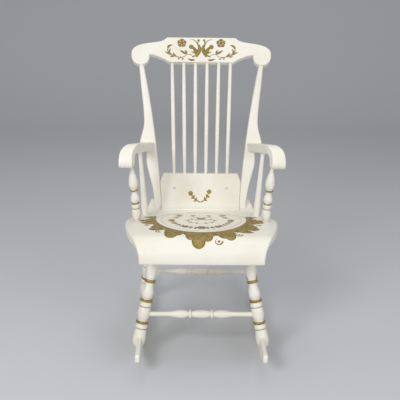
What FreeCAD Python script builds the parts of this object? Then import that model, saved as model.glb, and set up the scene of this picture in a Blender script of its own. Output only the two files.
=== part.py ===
import FreeCAD, Part
import math
import os

# Boston rocking chair, in millimetres. It faces -Y, +X is its left side, Z = 0 is the floor.
# The origin is on the floor, midway between the ends of the rockers. Every paired piece is
# made on the +X side and mirrored to the -X side.

V = FreeCAD.Vector
os.makedirs("parts", exist_ok=True)

beyond = 1200.0              # longer than any piece, for prisms that cut right through
same = 0.01                  # two places nearer than this are one

# Fits
fit = 0.1                    # clearance round a glued tenon, dowel or scribed joint
end_gap = 1.0                # room for glue at the end of a blind hole
entry = 7.0                  # length of parallel tenon that shows outside its hole

# Rockers
rocker_length = 804.0
rocker_radius = 1465.0       # curve of the lower edge
rocker_low_y = 26.0          # where the lower edge touches the floor
rocker_thickness = 14.5
rocker_depth = 74.0          # at the low point
rocker_front_tip = 26.0      # height of the front end face
rocker_rear_tip = 25.0
rocker_front_x = 212.0       # half spacing at the front leg
rocker_rear_x = 218.0        # half spacing at the rear leg
rocker_tip_round = 8.0
rocker_edge_round = 2.5
rocker_pin_diameter = 7.0
rocker_pin_drop = 22.0       # below the top edge of the rocker
rocker_pin_length = 38.0     # the ends lie just under the surface of the foot

# Seat
seat_thickness = 30.0
seat_top_z = 450.0           # flat part behind the front roll
roll_radius = 72.0           # outer radius of the rolled front edge
roll_y = -230.0              # axis of the roll
roll_hook = 10.0             # degrees that the roll turns on past straight down
front_glue_y = -195.0        # glue line between the roll and the seat board
rear_glue_y = 158.0          # glue line between the seat board and the rear rise
seat_rear_y = 212.0
seat_edge_round = 5.0
seat_line = [(-90.0, 447.5), (30.0, 433.5), (112.0, 421.5), (158.0, 426.0), (seat_rear_y, 450.0)]
seat_plan = [(208.0, -303.0), (221.0, -280.0), (236.0, -245.0), (257.0, -169.0), (267.5, -105.0),
             (266.0, -52.0), (248.0, -3.0), (229.0, 75.0), (207.0, 160.0), (192.0, seat_rear_y)]
seat_dowel_diameter = 10.0
seat_dowel_length = 50.0
seat_dowel_count = 4
seat_dowel_span = 100.0      # from the middle to the outer dowel

# Legs. A turning is a list of runs, each a smooth piece of its outline. Each pair is the
# height above the rocker's top edge, along the leg, and the radius there.
leg_front_foot_y = -237.0
leg_front_top = (148.5, -168.0)
leg_rear_foot_y = 220.0
leg_rear_top = (178.0, 134.0)
leg_tenon_diameter = 28.0
leg_tenon_depth = 20.0
barrel_radius = 21.2
vase_radius = 20.0
leg_turning = [
    [(-42.0, 9.0), (-33.0, 17.5), (-10.0, 22.0), (8.0, 21.0), (25.0, 18.8)],
    [(25.0, 18.8), (27.0, 18.8)],
    [(27.0, 19.6), (32.5, 20.6), (43.5, 16.6)],
    [(44.5, 20.5), (49.0, 21.5), (53.5, 20.5)],
    [(54.5, 14.0), (78.0, barrel_radius), (103.0, 18.8)],
    [(103.0, 18.8), (105.0, 18.8)],
    [(105.0, 19.6), (110.5, 20.6), (121.5, 16.6)],
    [(122.5, 20.5), (127.0, 21.5), (131.5, 20.5)],
    [(132.5, 14.0), (141.0, 18.6), (152.0, vase_radius), (170.0, 16.6), (189.5, 14.2)],
    [(190.5, 18.2), (195.5, 19.2), (200.5, 18.2)],
]
leg_neck = (201.5, 13.6)
leg_swell = (218.0, 17.0)
leg_barrel = (244.0, 19.4)
leg_shoulder = 45.0          # below the seat, where the long barrel has drawn in again
leg_shoulder_radius = 17.4

# Stretchers
stretcher_height = 77.0      # along the leg, at the lower barrel
side_stretcher_height = 150.0
stretcher_end_radius = 8.3   # the tenon is as thick
stretcher_tenon_stop = 8.0   # from the leg's axis to the end of the tenon
stretcher_bead_x = 37.8
stretcher_bead_radius = 15.5
stretcher_bead_width = 7.0
stretcher_bulb_x = 67.0
stretcher_bulb_radius = 14.4
stretcher_cove_radius = 8.6
stretcher_swell = (10.0, 11.4)   # from the bead's edge towards either bulb, and the radius there
stretcher_fade = (91.0, 11.6)    # on the bulb's outer slope
stretcher_taper_x = 118.0    # where the bulb runs into the plain end
stretcher_centre_radius = 14.2
side_stretcher_radius = 13.0
side_neck_length = 6.0       # parallel end that shows beside the leg
bead_step = 1.0              # how much thinner a bead is at its edges

# Back posts
post_foot_z = 410.0
post_foot_y = 171.0
post_top_z = 966.0
post_top_y = 324.0
post_bow = 13.0              # how far the post's side curve leaves the straight line
post_foot_depth = 30.0
post_top_depth = 21.0
post_inner = [(149.5, 410.0), (175.5, 690.0), (224.8, 966.0)]
post_outer_foot = [(173.5, 410.0), (179.0, 465.0), (190.0, 521.0)]
post_outer_waist = [(190.0, 521.0), (202.5, 566.0), (211.0, 640.0)]
post_flare = [(233.5, 666.0), (232.0, 684.0), (226.0, 706.0), (220.0, 732.0), (219.5, 764.0)]
post_outer_top = (241.2, 966.0)
post_flare_hollow = 3.0      # how far the hollow below the flare bends inwards
post_edge_round = 5.0
post_tenon_diameter = 18.0
post_tenon_depth = 20.0
post_head_diameter = 13.0
post_head_depth = 20.0
post_plug_diameter = 6.5
post_plug_x = 216.0
post_plug_z = 717.0
post_plug_depth = 8.0

# Back board
board_thickness = 22.0
board_foot_y = 174.0         # middle of the thickness at the height of the seat
board_foot_z = 430.0
board_top_z = 551.5
board_top_half = 146.5
board_shoulder_z = 521.0     # where the ends leave the posts
board_corner = 7.0
board_cove = 22.0            # hollow between the front face and the seat
board_cove_toe = 3.0

# Back spindles
spindle_count = 6
spindle_top_pitch = 45.1
spindle_foot_pitch = 41.1
spindle_top_diameter = 12.8
spindle_high_diameter = 14.4 # three quarters of the way up
spindle_middle_diameter = 15.2
spindle_low_diameter = 14.8  # a quarter of the way up
spindle_foot_diameter = 11.8
spindle_head_depth = 18.0
spindle_board_depth = 66.0
lock_pin_diameter = 8.0
lock_pin_drop = 58.0         # below the top of the back board
lock_pin_length = 18.0

# Crest rail. Its outline is given on its front face, as x and the distance up the face.
crest_thickness = 28.0
crest_lean = 29.0            # degrees from the vertical
crest_foot_y = 309.3         # lower edge of the front face, at the middle
crest_foot_z = 967.5
crest_panel = (133.5, 102.7)
crest_shoulder = [crest_panel, (143.0, 93.8), (163.0, 85.5)]
crest_slope = [(163.0, 85.5), (180.0, 82.3), (203.0, 79.2)]
crest_ear = [(203.0, 79.2), (219.0, 76.3), (238.0, 71.3), (252.0, 65.0), (263.0, 55.5), (269.0, 45.0),
             (270.0, 32.0), (268.0, 15.7), (261.0, 2.5), (251.5, -6.0), (241.0, -10.0)]
crest_ear_back = [(230.0, -9.5), (218.0, -7.6), (209.0, -0.5), (202.6, 11.5), (200.5, 31.5)]
crest_lower = [(200.5, 31.5), (188.0, 29.5), (172.0, 25.0), (158.0, 19.0), (146.0, 14.0), (135.0, 7.5),
               (124.0, 0.0)]
crest_edge_round = 3.0

# Arms. Each plan edge is three arcs, one after the other, from the rear end to the roll.
arm_thickness = 31.0
arm_slope = 10.6             # degrees that the arm rises towards the front
arm_roll_radius = 62.0
arm_roll_y = -92.0
arm_roll_z = 664.9
arm_tip_radius = 19.0
arm_tip_rise = 8.0           # centre of the tip above the axis of the roll
arm_hollow_bow = 9.0         # how far the hollow under the roll bends forward and up
arm_outer = [(233.0, 222.0), (240.0, 60.0), (251.0, -66.0), (256.3, -89.5), (267.0, -111.0),
             (277.7, -132.5), (283.0, -156.0)]
arm_inner = [(178.0, 222.0), (201.0, 60.0), (217.0, -66.0), (222.6, -99.0), (228.0, -115.0),
             (233.5, -131.0), (235.5, -156.0)]
arm_edge_round = 4.0         # along the top and over the roll
arm_dowel_diameter = 9.0
arm_dowel_length = 40.0
arm_dowel_spread = 26.0
arm_dowel_z = 654.0

# Arm posts and arm spindles. Heights are along the turning, above the seat.
stub = 3.0                   # parallel length of a turned foot above the seat
arm_post_foot = (228.0, -65.0)
arm_post_top = (246.5, -99.0)
arm_socket_depth = 16.0
arm_seat_depth = 18.0
arm_post_tenon_radius = 9.4
arm_post_turning = [
    [(stub, arm_post_tenon_radius), (14.0, 14.6), (26.0, 16.2), (48.0, 13.0)],
    [(48.0, 11.8), (50.0, 11.8)],
    [(50.0, 13.2), (58.0, 15.0), (66.0, 13.2)],
    [(66.0, 13.2), (68.5, 14.2), (71.0, 13.2)],
    [(71.0, 12.0), (78.0, 14.9), (86.0, 15.8), (99.0, 11.6), (111.0, 9.4)],
    [(116.0, 13.2), (118.5, 14.2), (121.0, 13.2)],
]
arm_post_vase = [(122.0, 9.6), (131.0, 14.6), (143.0, 16.2), (168.0, 13.0)]
arm_spindle_foot = (206.0, 45.0)
arm_spindle_top = (223.0, 49.0)
arm_spindle_foot_radius = 10.0
arm_spindle_swell = [(16.0, 11.6), (60.0, 11.0)]
arm_spindle_middle_radius = 9.4
arm_spindle_top_radius = 7.2


def smooth(points, vector):
    """A smooth edge through points of a plane; vector is the function that makes a point of a pair."""
    curve = Part.BSplineCurve()
    curve.interpolate([vector(*p) for p in points])
    return curve.toShape()


def front(x, z):
    return V(x, 0, z)


def side(y, z):
    return V(0, y, z)


def plan(x, y):
    return V(x, y, 0)


def line(a, b):
    return Part.LineSegment(a, b).toShape()


def arc(a, b, c):
    return Part.Arc(a, b, c).toShape()


def slab(edges, reach):
    """A prism of a closed outline, as long as reach each way along its normal."""
    outline = Part.Face(Part.Wire(edges))
    normal = outline.normalAt(0, 0)
    outline.translate(normal * -reach)
    return outline.extrude(normal * 2 * reach)


def runs_off(edge, axis):
    """Whether an edge leaves the direction of the axis, which is x, y or z."""
    points = [edge.valueAt(edge.FirstParameter + part * (edge.LastParameter - edge.FirstParameter))
              for part in (0, 0.5, 1)]
    others = [c for c in "xyz" if c != axis]
    return any(abs(getattr(points[0], c) - getattr(q, c)) > same for c in others for q in points[1:])


def mirrored(shape):
    return shape.mirror(V(0, 0, 0), V(1, 0, 0))


def arcs_through(points):
    """Arcs one after the other, each through three points and from the end of the one before."""
    return [arc(*points[i:i + 3]) for i in range(0, len(points) - 2, 2)]


def peg(a, b, radius):
    """A round bar from a to b."""
    return Part.makeCylinder(radius, (b - a).Length, a, b - a)


def turned(runs, foot, head):
    """A turning from foot towards head. Each run is a smooth piece of its outline."""
    edges = []
    start = V(0, 0, runs[0][0][0])
    last = start
    for run in runs:
        points = [front(radius, height) for height, radius in run]
        if not points[0].isEqual(last, same):
            edges.append(line(last, points[0]))
        if len(points) == 2:
            edges.append(line(points[0], points[1]))
        elif len(points) == 3:
            edges.append(arc(*points))
        else:
            edges.append(smooth([(radius, height) for height, radius in run], front))
        last = points[-1]
    top = V(0, 0, last.z)
    edges.append(line(last, top))
    edges.append(line(top, start))
    body = Part.Face(Part.Wire(edges)).revolve(V(0, 0, 0), V(0, 0, 1), 360)
    body = Part.makeSolid(body.Shells[0]) if body.ShapeType != "Solid" else body
    body.Placement = FreeCAD.Placement(foot, FreeCAD.Rotation(V(0, 0, 1), head - foot))
    return body


def hole_end(room):
    """How much deeper a blind hole is than its peg. A peg itself has no room."""
    return end_gap if room else 0.0


def keep(name, shape):
    shape.exportStep("parts/" + name + ".step")


def pair(name, shape):
    keep(name + "_left", shape)
    keep(name + "_right", mirrored(shape))


def height_on(edge, y):
    """Height of a curve of the YZ plane above the place y."""
    tall = line(side(y, -beyond), side(y, beyond))
    return edge.distToShape(tall)[1][0][0].z


# Seat
def seat_side_line(drop):
    """The seat's top line, lowered by drop, from the roll to the rear edge."""
    points = [(roll_y, seat_top_z), (front_glue_y, seat_top_z)] + seat_line
    return smooth([(y, z - drop) for y, z in points], side)


seat_top_line = seat_side_line(0)
seat_under_line = seat_side_line(seat_thickness)
roll_centre = side(roll_y, seat_top_z - roll_radius)


def roll_point(radius, angle):
    """A point of the roll, angle degrees forward of straight up."""
    turn = math.radians(angle)
    return roll_centre + side(-radius * math.sin(turn), radius * math.cos(turn))


def make_seat_blank():
    inner = roll_radius - seat_thickness
    stop = 90 + roll_hook
    profile = [
        seat_top_line,
        line(side(seat_rear_y, seat_line[-1][1]), side(seat_rear_y, seat_line[-1][1] - seat_thickness)),
        seat_under_line,
        arc(roll_point(inner, 0), roll_point(inner, stop / 2), roll_point(inner, stop)),
        line(roll_point(inner, stop), roll_point(roll_radius, stop)),
        arc(roll_point(roll_radius, stop), roll_point(roll_radius, stop / 2), roll_point(roll_radius, 0)),
    ]
    right = [(-x, y) for x, y in seat_plan]
    outline = [
        smooth(seat_plan, plan),
        line(plan(*seat_plan[-1]), plan(*right[-1])),
        smooth(right[::-1], plan),
        line(plan(*right[0]), plan(*seat_plan[0])),
    ]
    upright = slab(outline, beyond)
    body = slab(profile, beyond).common(upright).Solids[0]
    rim = [e for e in body.Edges if runs_off(e, "x") and runs_off(e, "z")]
    return body.makeFillet(seat_edge_round, rim).Solids[0]


seat_blank = make_seat_blank()

# Rockers
rocker_half = rocker_length / 2


def rocker_under(y):
    return rocker_radius - math.sqrt(rocker_radius ** 2 - (y - rocker_low_y) ** 2)


front_tip_low = rocker_under(-rocker_half)
rear_tip_low = rocker_under(rocker_half)
rocker_top_line = arc(
    side(-rocker_half, front_tip_low + rocker_front_tip),
    side(rocker_low_y, rocker_depth),
    side(rocker_half, rear_tip_low + rocker_rear_tip),
)
toe = (rocker_rear_x - rocker_front_x) / (leg_rear_foot_y - leg_front_foot_y)


def rocker_x(y):
    return rocker_front_x + toe * (y - leg_front_foot_y)


def place_on_rocker(shape):
    """Moves a shape from the YZ plane to the plane of the rocker."""
    shape.rotate(V(0, 0, 0), V(0, 0, 1), -math.degrees(math.atan(toe)))
    shape.translate(V(rocker_x(0), 0, 0))
    return shape


def make_rocker():
    profile = [
        rocker_top_line,
        line(side(rocker_half, rear_tip_low + rocker_rear_tip), side(rocker_half, rear_tip_low)),
        arc(side(rocker_half, rear_tip_low), side(rocker_low_y, 0), side(-rocker_half, front_tip_low)),
        line(side(-rocker_half, front_tip_low), side(-rocker_half, front_tip_low + rocker_front_tip)),
    ]
    blade = slab(profile, rocker_thickness / 2)
    ends = [e for e in blade.Edges if abs(abs(e.CenterOfMass.y) - rocker_half) < same and
            abs(e.CenterOfMass.x) < same]
    blade = blade.makeFillet(rocker_tip_round, ends)
    rim = [e for e in blade.Edges if abs(abs(e.CenterOfMass.x) - rocker_thickness / 2) < same]
    return blade.makeFillet(rocker_edge_round, rim)


def make_slot():
    """The space that a rocker needs in a leg: its thickness, and all below its top edge."""
    bottom = -rocker_depth
    ends = [side(rocker_half, bottom), side(-rocker_half, bottom)]
    profile = [
        rocker_top_line,
        line(side(rocker_half, rear_tip_low + rocker_rear_tip), ends[0]),
        line(ends[0], ends[1]),
        line(ends[1], side(-rocker_half, front_tip_low + rocker_front_tip)),
    ]
    slot = slab(profile, rocker_thickness / 2 + fit)
    slot.translate(V(0, 0, fit))
    return slot


rocker = place_on_rocker(make_rocker())
rocker_slot = place_on_rocker(make_slot())


# Legs
class Leg:
    """Axis of one leg, from the top edge of the rocker to the underside of the seat."""

    def __init__(self, foot_y, top):
        self.foot = V(rocker_x(foot_y), foot_y, height_on(rocker_top_line, foot_y))
        self.top = V(top[0], top[1], height_on(seat_under_line, top[1]))
        self.along = (self.top - self.foot).normalize()
        self.length = (self.top - self.foot).Length
        across = rocker_pin_drop / self.along.z
        self.pin = self.foot - self.along * across

    def at(self, height):
        return self.foot + self.along * height


def leg_runs(length):
    """Outline of a leg: its turning, a long barrel up to the seat, and the tenon."""
    tenon = leg_tenon_diameter / 2
    shoulder = (length - leg_shoulder, leg_shoulder_radius)
    barrel = [leg_neck, leg_swell, leg_barrel, shoulder, (length - entry, tenon)]
    return leg_turning + [barrel, [(length - entry, tenon), (length + leg_tenon_depth, tenon)]]


leg_front = Leg(leg_front_foot_y, leg_front_top)
leg_rear = Leg(leg_rear_foot_y, leg_rear_top)


def stretcher_bores(leg, neighbour, height):
    """The mortise in a leg for the stretcher that runs to the neighbour point."""
    centre = leg.at(height)
    towards = (neighbour - centre).normalize()
    start = centre + towards * (stretcher_tenon_stop - end_gap)
    return peg(start, centre + towards * (3 * barrel_radius), stretcher_end_radius + fit)


def make_leg(leg, other):
    body = turned(leg_runs(leg.length), leg.foot, leg.top)
    across = leg.at(stretcher_height)
    cuts = [
        rocker_slot,
        stretcher_bores(leg, V(-across.x, across.y, across.z), stretcher_height),
        stretcher_bores(leg, other.at(side_stretcher_height), side_stretcher_height),
        rocker_pin(leg, fit),
    ]
    for cut in cuts:
        body = body.cut(cut)
    return body


def rocker_pin(leg, room):
    """The peg through the fork and the rocker; room widens it for its hole."""
    reach = V(rocker_pin_length / 2 + room, 0, 0)
    return peg(leg.pin - reach, leg.pin + reach, rocker_pin_diameter / 2 + room)


# Stretchers
def cross_stretcher_runs(half):
    """Outline of a stretcher: a middle bulb, and on each side of it a bead, a bulb and a plain end."""
    inner = stretcher_bead_x - stretcher_bead_width / 2
    outer = stretcher_bead_x + stretcher_bead_width / 2
    beside, swell = stretcher_swell
    edge = stretcher_bead_radius - bead_step
    middle = [(-inner, stretcher_cove_radius), (beside - inner, swell), (0.0, stretcher_centre_radius),
              (inner - beside, swell), (inner, stretcher_cove_radius)]
    right = [
        [(inner, edge), (stretcher_bead_x, stretcher_bead_radius), (outer, edge)],
        [(outer, stretcher_cove_radius), (outer + beside, swell), (stretcher_bulb_x, stretcher_bulb_radius),
         stretcher_fade, (stretcher_taper_x, stretcher_end_radius)],
        [(stretcher_taper_x, stretcher_end_radius), (half - stretcher_tenon_stop, stretcher_end_radius)],
    ]
    left = [[(-x, radius) for x, radius in run[::-1]] for run in right[::-1]]
    return left + [middle] + right


def make_cross_stretcher(leg):
    end = leg.at(stretcher_height)
    return turned(cross_stretcher_runs(end.x), V(0, end.y, end.z), end)


def make_side_stretcher():
    a = leg_front.at(side_stretcher_height)
    b = leg_rear.at(side_stretcher_height)
    half = (b - a).Length / 2
    tip = half - stretcher_tenon_stop
    neck = half - vase_radius - side_neck_length
    runs = [
        [(-tip, stretcher_end_radius), (-neck, stretcher_end_radius)],
        [(-neck, stretcher_end_radius), (0.0, side_stretcher_radius), (neck, stretcher_end_radius)],
        [(neck, stretcher_end_radius), (tip, stretcher_end_radius)],
    ]
    return turned(runs, (a + b) / 2, b)


# Back posts
def post_line(offset_foot, offset_top):
    """Side curve of the post, moved along Y by one amount at the foot and one at the top."""
    middle_z = (post_foot_z + post_top_z) / 2
    middle_y = (post_foot_y + post_top_y) / 2 - post_bow
    shift = (offset_foot + offset_top) / 2
    return arc(side(post_foot_y + offset_foot, post_foot_z), side(middle_y + shift, middle_z),
               side(post_top_y + offset_top, post_top_z))


post_face_line = post_line(-post_foot_depth / 2, -post_top_depth / 2)
post_back_line = post_line(post_foot_depth / 2, post_top_depth / 2)
post_inner_line = arc(*[front(*p) for p in post_inner])


def y_on(edge, z):
    """Place of a side curve at the height z."""
    flat = line(side(-beyond, z), side(beyond, z))
    return edge.distToShape(flat)[1][0][0].y


def x_on(edge, z):
    """Half width of a front curve at the height z."""
    flat = line(front(0, z), front(beyond, z))
    return edge.distToShape(flat)[1][0][0].x


def make_post():
    foot_face = side(post_foot_y - post_foot_depth / 2, post_foot_z)
    foot_back = side(post_foot_y + post_foot_depth / 2, post_foot_z)
    top_face = side(post_top_y - post_top_depth / 2, post_top_z)
    top_back = side(post_top_y + post_top_depth / 2, post_top_z)
    depth = [post_face_line, line(top_face, top_back), post_back_line, line(foot_back, foot_face)]
    waist = front(*post_outer_waist[-1])
    flare = front(*post_flare[0])
    across = V(0, 1, 0).cross(flare - waist).normalize()
    hollow = (waist + flare) / 2 + across * post_flare_hollow
    width = [
        post_inner_line,
        line(front(*post_inner[-1]), post_outer_top_line.Vertexes[1].Point),
        post_outer_top_line,
        smooth(post_flare, front),
        arc(flare, hollow, waist),
        arc(*[front(*p) for p in post_outer_waist]),
        post_outer_foot_line,
        line(front(*post_outer_foot[0]), front(*post_inner[0])),
    ]
    body = slab(depth, beyond).common(slab(width, beyond)).Solids[0]
    long_edges = [e for e in body.Edges if runs_off(e, "x") and runs_off(e, "y")]
    return body.makeFillet(post_edge_round, long_edges).Solids[0]


post_outer_foot_line = arc(*[front(*p) for p in post_outer_foot])
post_outer_top_line = line(front(*post_flare[-1]), front(*post_outer_top))
post_blank = make_post()


def post_centre(z):
    """Middle of the post at the height z, near its foot or its top."""
    outer = post_outer_foot_line if z < post_outer_foot[-1][1] else post_outer_top_line
    y = (y_on(post_face_line, z) + y_on(post_back_line, z)) / 2
    return V((x_on(post_inner_line, z) + x_on(outer, z)) / 2, y, z)


# Back board and spindles share one leaning plane
spindle_lean = (post_top_y - board_foot_y) / (post_top_z - board_foot_z)


def lean_y(z):
    """Middle of the back board and of the spindles at the height z."""
    return board_foot_y + spindle_lean * (z - board_foot_z)


def board_side(z, way):
    """A point on the board's face (way -1) or back (way 1) at the height z."""
    return side(lean_y(z) + way * board_thickness / 2 / math.cos(math.atan(spindle_lean)), z)


def board_profile():
    """Side outline: a leaning board with a hollow at the foot of its face, where it meets the seat."""
    floor_z = height_on(seat_top_line, board_side(board_foot_z, -1).y - board_cove) + board_cove_toe
    face = board_side(floor_z + board_cove, -1)
    toe = side(face.y - board_cove, floor_z)
    hollow = side(face.y - board_cove * (1 - math.sqrt(0.5)), face.z - board_cove * math.sqrt(0.5))
    corners = [face, board_side(board_top_z, -1), board_side(board_top_z, 1), board_side(post_foot_z, 1),
               side(toe.y, post_foot_z), toe]
    return [line(a, b) for a, b in zip(corners, corners[1:])] + [arc(toe, hollow, face)]


def board_half_outline(way):
    """Front outline of one end, from the foot up to the rounded corner; way is 1 or -1."""
    heights = [post_foot_z, (post_foot_z + board_shoulder_z) / 2, board_shoulder_z]
    end = [front(way * (x_on(post_inner_line, z) - fit), z) for z in heights]
    x = board_top_half - board_corner
    z = board_top_z - board_corner
    slant = board_corner * math.sqrt(0.5)
    return [
        arc(*end),
        line(end[-1], front(way * board_top_half, z)),
        arc(front(way * board_top_half, z), front(way * (x + slant), z + slant),
            front(way * x, board_top_z)),
    ]


def make_board():
    left, right = board_half_outline(1), board_half_outline(-1)
    top_x = board_top_half - board_corner
    foot_x = x_on(post_inner_line, post_foot_z) - fit
    top = line(front(top_x, board_top_z), front(-top_x, board_top_z))
    foot = line(front(-foot_x, post_foot_z), front(foot_x, post_foot_z))
    outline = left + [top] + right[::-1] + [foot]
    return slab(board_profile(), beyond).common(slab(outline, beyond)).cut(seat_blank).Solids[0]


crest_slope_back = math.tan(math.radians(crest_lean))
spindle_head_z = ((crest_foot_z - (lean_y(0) - crest_foot_y) * crest_slope_back)
                  / (1 + spindle_lean * crest_slope_back))


def spindle_ends(index):
    """The points where a spindle enters the top of the back board and the crest rail."""
    place = index - (spindle_count - 1) / 2
    return (V(place * spindle_foot_pitch, lean_y(board_top_z), board_top_z),
            V(place * spindle_top_pitch, lean_y(spindle_head_z), spindle_head_z))


def make_spindle(index):
    foot, head = spindle_ends(index)
    length = (head - foot).Length
    low = spindle_foot_diameter / 2
    high = spindle_top_diameter / 2
    runs = [
        [(-spindle_board_depth, low), (entry, low)],
        [(entry, low), (length / 4, spindle_low_diameter / 2), (length / 2, spindle_middle_diameter / 2),
         (length * 3 / 4, spindle_high_diameter / 2), (length - entry, high)],
        [(length - entry, high), (length + spindle_head_depth, high)],
    ]
    return turned(runs, foot, head)


def spindle_bores(index):
    foot, head = spindle_ends(index)
    along = (head - foot).normalize()
    low = peg(foot - along * (spindle_board_depth + end_gap), foot + along * entry,
              spindle_foot_diameter / 2 + fit)
    high = peg(head - along * entry, head + along * (spindle_head_depth + end_gap),
               spindle_top_diameter / 2 + fit)
    return low, high


def lock_pin(side_sign, room):
    """A peg through the back board that locks an outer spindle."""
    foot, head = spindle_ends(spindle_count - 1 if side_sign > 0 else 0)
    along = (head - foot).normalize()
    centre = foot - along * lock_pin_drop
    normal = V(0, math.cos(math.atan(spindle_lean)), -math.sin(math.atan(spindle_lean)))
    start = centre - normal * (board_thickness / 2)
    return peg(start, start + normal * (lock_pin_length + hole_end(room)), lock_pin_diameter / 2 + room)


# Crest rail
def crest_half_outline(way):
    """Outline of one end of the crest on its own face, from the panel down to its lower edge."""
    def on_face(points):
        return [front(way * x, up) for x, up in points]

    return [
        *arcs_through(on_face(crest_shoulder)),
        *arcs_through(on_face(crest_slope)),
        smooth([(way * x, up) for x, up in crest_ear], front),
        line(*on_face([crest_ear[-1], crest_ear_back[0]])),
        *arcs_through(on_face(crest_ear_back)),
        smooth([(way * x, up) for x, up in crest_lower], front),
    ]


def make_crest():
    """The crest: a board of one thickness, cut to its outline, rounded, and leaned back."""
    top_x, top_up = crest_panel
    foot_x, foot_up = crest_lower[-1]
    outline = crest_half_outline(1) + [line(front(foot_x, foot_up), front(-foot_x, foot_up))]
    outline += crest_half_outline(-1)[::-1] + [line(front(-top_x, top_up), front(top_x, top_up))]
    body = slab(outline, crest_thickness / 2)
    rim = [e for e in body.Edges if runs_off(e, "y")]
    body = body.makeFillet(crest_edge_round, rim).Solids[0]
    body.translate(V(0, crest_thickness / 2, 0))
    body.rotate(V(0, 0, 0), V(1, 0, 0), -crest_lean)
    body.translate(side(crest_foot_y, crest_foot_z))
    return body


crest_blank = make_crest()


# Arms
arm_turn = math.radians(arm_slope)
arm_up = side(math.sin(arm_turn), math.cos(arm_turn))
arm_back = side(math.cos(arm_turn), -math.sin(arm_turn))
arm_roll_centre = side(arm_roll_y, arm_roll_z)
arm_top_front = arm_roll_centre + arm_up * arm_roll_radius
arm_under_front = arm_top_front - arm_up * arm_thickness
arm_tip = arm_roll_centre + side(arm_tip_radius - arm_roll_radius, arm_tip_rise)
arm_tip_in = arm_tip + side(arm_tip_radius, 0)
arm_hollow = side((arm_tip_in.y + arm_under_front.y) / 2 - arm_hollow_bow,
                  (arm_tip_in.z + arm_under_front.z) / 2 + arm_hollow_bow)
arm_reach = arm_outer[0][1] - arm_inner[-1][1]
arm_under_lines = Part.Wire([
    arc(arm_tip_in, arm_hollow, arm_under_front),
    line(arm_under_front, arm_under_front + arm_back * arm_reach),
])


def arm_profile():
    """Side outline of the arm: straight, then over the roll and round its tip."""
    tip_out = arm_tip + side(-arm_tip_radius, 0)
    turn = (math.pi / 2 - arm_turn) / 2
    roll_mid = arm_roll_centre + side(-math.sin(turn), math.cos(turn)) * arm_roll_radius
    top_end = arm_top_front + arm_back * arm_reach
    under_end = arm_under_front + arm_back * arm_reach
    over = [
        line(top_end, arm_top_front),
        arc(arm_top_front, roll_mid, tip_out),
        arc(tip_out, arm_tip + side(0, -arm_tip_radius), arm_tip_in),
    ]
    return over + arm_under_lines.Edges + [line(under_end, top_end)]


def behind_post_face():
    """All the space behind the front face of the back posts, with room for the joint."""
    low, high = [v.Point for v in post_face_line.Vertexes]
    corners = [high, side(beyond, high.z), side(beyond, low.z), low]
    space = slab([post_face_line] + [line(a, b) for a, b in zip(corners, corners[1:])], beyond)
    space.translate(V(0, -fit, 0))
    return space


def make_arm():
    """The arm: a board that rolls over at the front, cut to its plan, up to the back post."""
    outer = [plan(*p) for p in arm_outer]
    inner = [plan(*p) for p in arm_inner]
    outline = arcs_through(outer) + [line(outer[-1], inner[-1])]
    outline += arcs_through(inner[::-1]) + [line(inner[0], outer[0])]
    body = slab(arm_profile(), beyond).common(slab(outline, beyond)).Solids[0]
    rear_end = arm_outer[0][1] - arm_edge_round
    low_end = arm_top_front.z - arm_edge_round
    upper_edges = [e for e in body.Edges
                   if runs_off(e, "x") and e.BoundBox.YMin < rear_end and e.BoundBox.ZMax > low_end]
    return body.makeFillet(arm_edge_round, upper_edges).cut(behind_post_face()).Solids[0]


arm_blank = make_arm()


# Turned posts under the arms
class Upright:
    """A turning between the seat's top and the arm's underside."""

    def __init__(self, foot, top):
        self.foot = V(foot[0], foot[1], height_on(seat_top_line, foot[1]))
        self.top = V(top[0], top[1], height_on(arm_under_lines, top[1]))
        self.along = (self.top - self.foot).normalize()
        self.length = (self.top - self.foot).Length

    def bores(self, low_radius, high_radius):
        """The holes in the seat and in the arm."""
        low = peg(self.foot - self.along * (arm_seat_depth + end_gap), self.foot + self.along * entry,
                  low_radius + fit)
        high = peg(self.top - self.along * entry, self.top + self.along * (arm_socket_depth + end_gap),
                   high_radius + fit)
        return low, high


arm_post_axis = Upright(arm_post_foot, arm_post_top)
arm_spindle_axis = Upright(arm_spindle_foot, arm_spindle_top)


def make_arm_post():
    tenon = arm_post_tenon_radius
    end = arm_post_axis.length
    foot = [(-arm_seat_depth, tenon), (stub, tenon)]
    vase = arm_post_vase + [(end - entry, tenon)]
    head = [(end - entry, tenon), (end + arm_socket_depth, tenon)]
    return turned([foot] + arm_post_turning + [vase, head], arm_post_axis.foot, arm_post_axis.top)


def make_arm_spindle():
    foot_radius = arm_spindle_foot_radius
    top_radius = arm_spindle_top_radius
    end = arm_spindle_axis.length
    shaft = [(stub, foot_radius)] + arm_spindle_swell
    shaft += [(end / 2, arm_spindle_middle_radius), (end - entry, top_radius)]
    runs = [
        [(-arm_seat_depth, foot_radius), (stub, foot_radius)],
        shaft,
        [(end - entry, top_radius), (end + arm_socket_depth, top_radius)],
    ]
    return turned(runs, arm_spindle_axis.foot, arm_spindle_axis.top)


# Pegs and dowels
def post_tenon(room):
    """Round tenon at the foot of the back post."""
    centre = post_centre(seat_post_z)
    above = post_centre(seat_post_z + post_foot_depth)
    along = (above - centre).normalize()
    return peg(centre - along * (post_tenon_depth + hole_end(room)), above, post_tenon_diameter / 2 + room)


def post_head(room):
    """Round tenon at the top of the back post."""
    centre = post_centre(post_top_z)
    below = post_centre(post_top_z - post_head_depth)
    along = (centre - below).normalize()
    return peg(below, centre + along * (post_head_depth + hole_end(room)), post_head_diameter / 2 + room)


def post_plug(room):
    """Plug in the face of the back post above the arm."""
    y = y_on(post_face_line, post_plug_z)
    return peg(V(post_plug_x, y, post_plug_z), V(post_plug_x, y + post_plug_depth + room, post_plug_z),
               post_plug_diameter / 2 + room)


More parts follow.
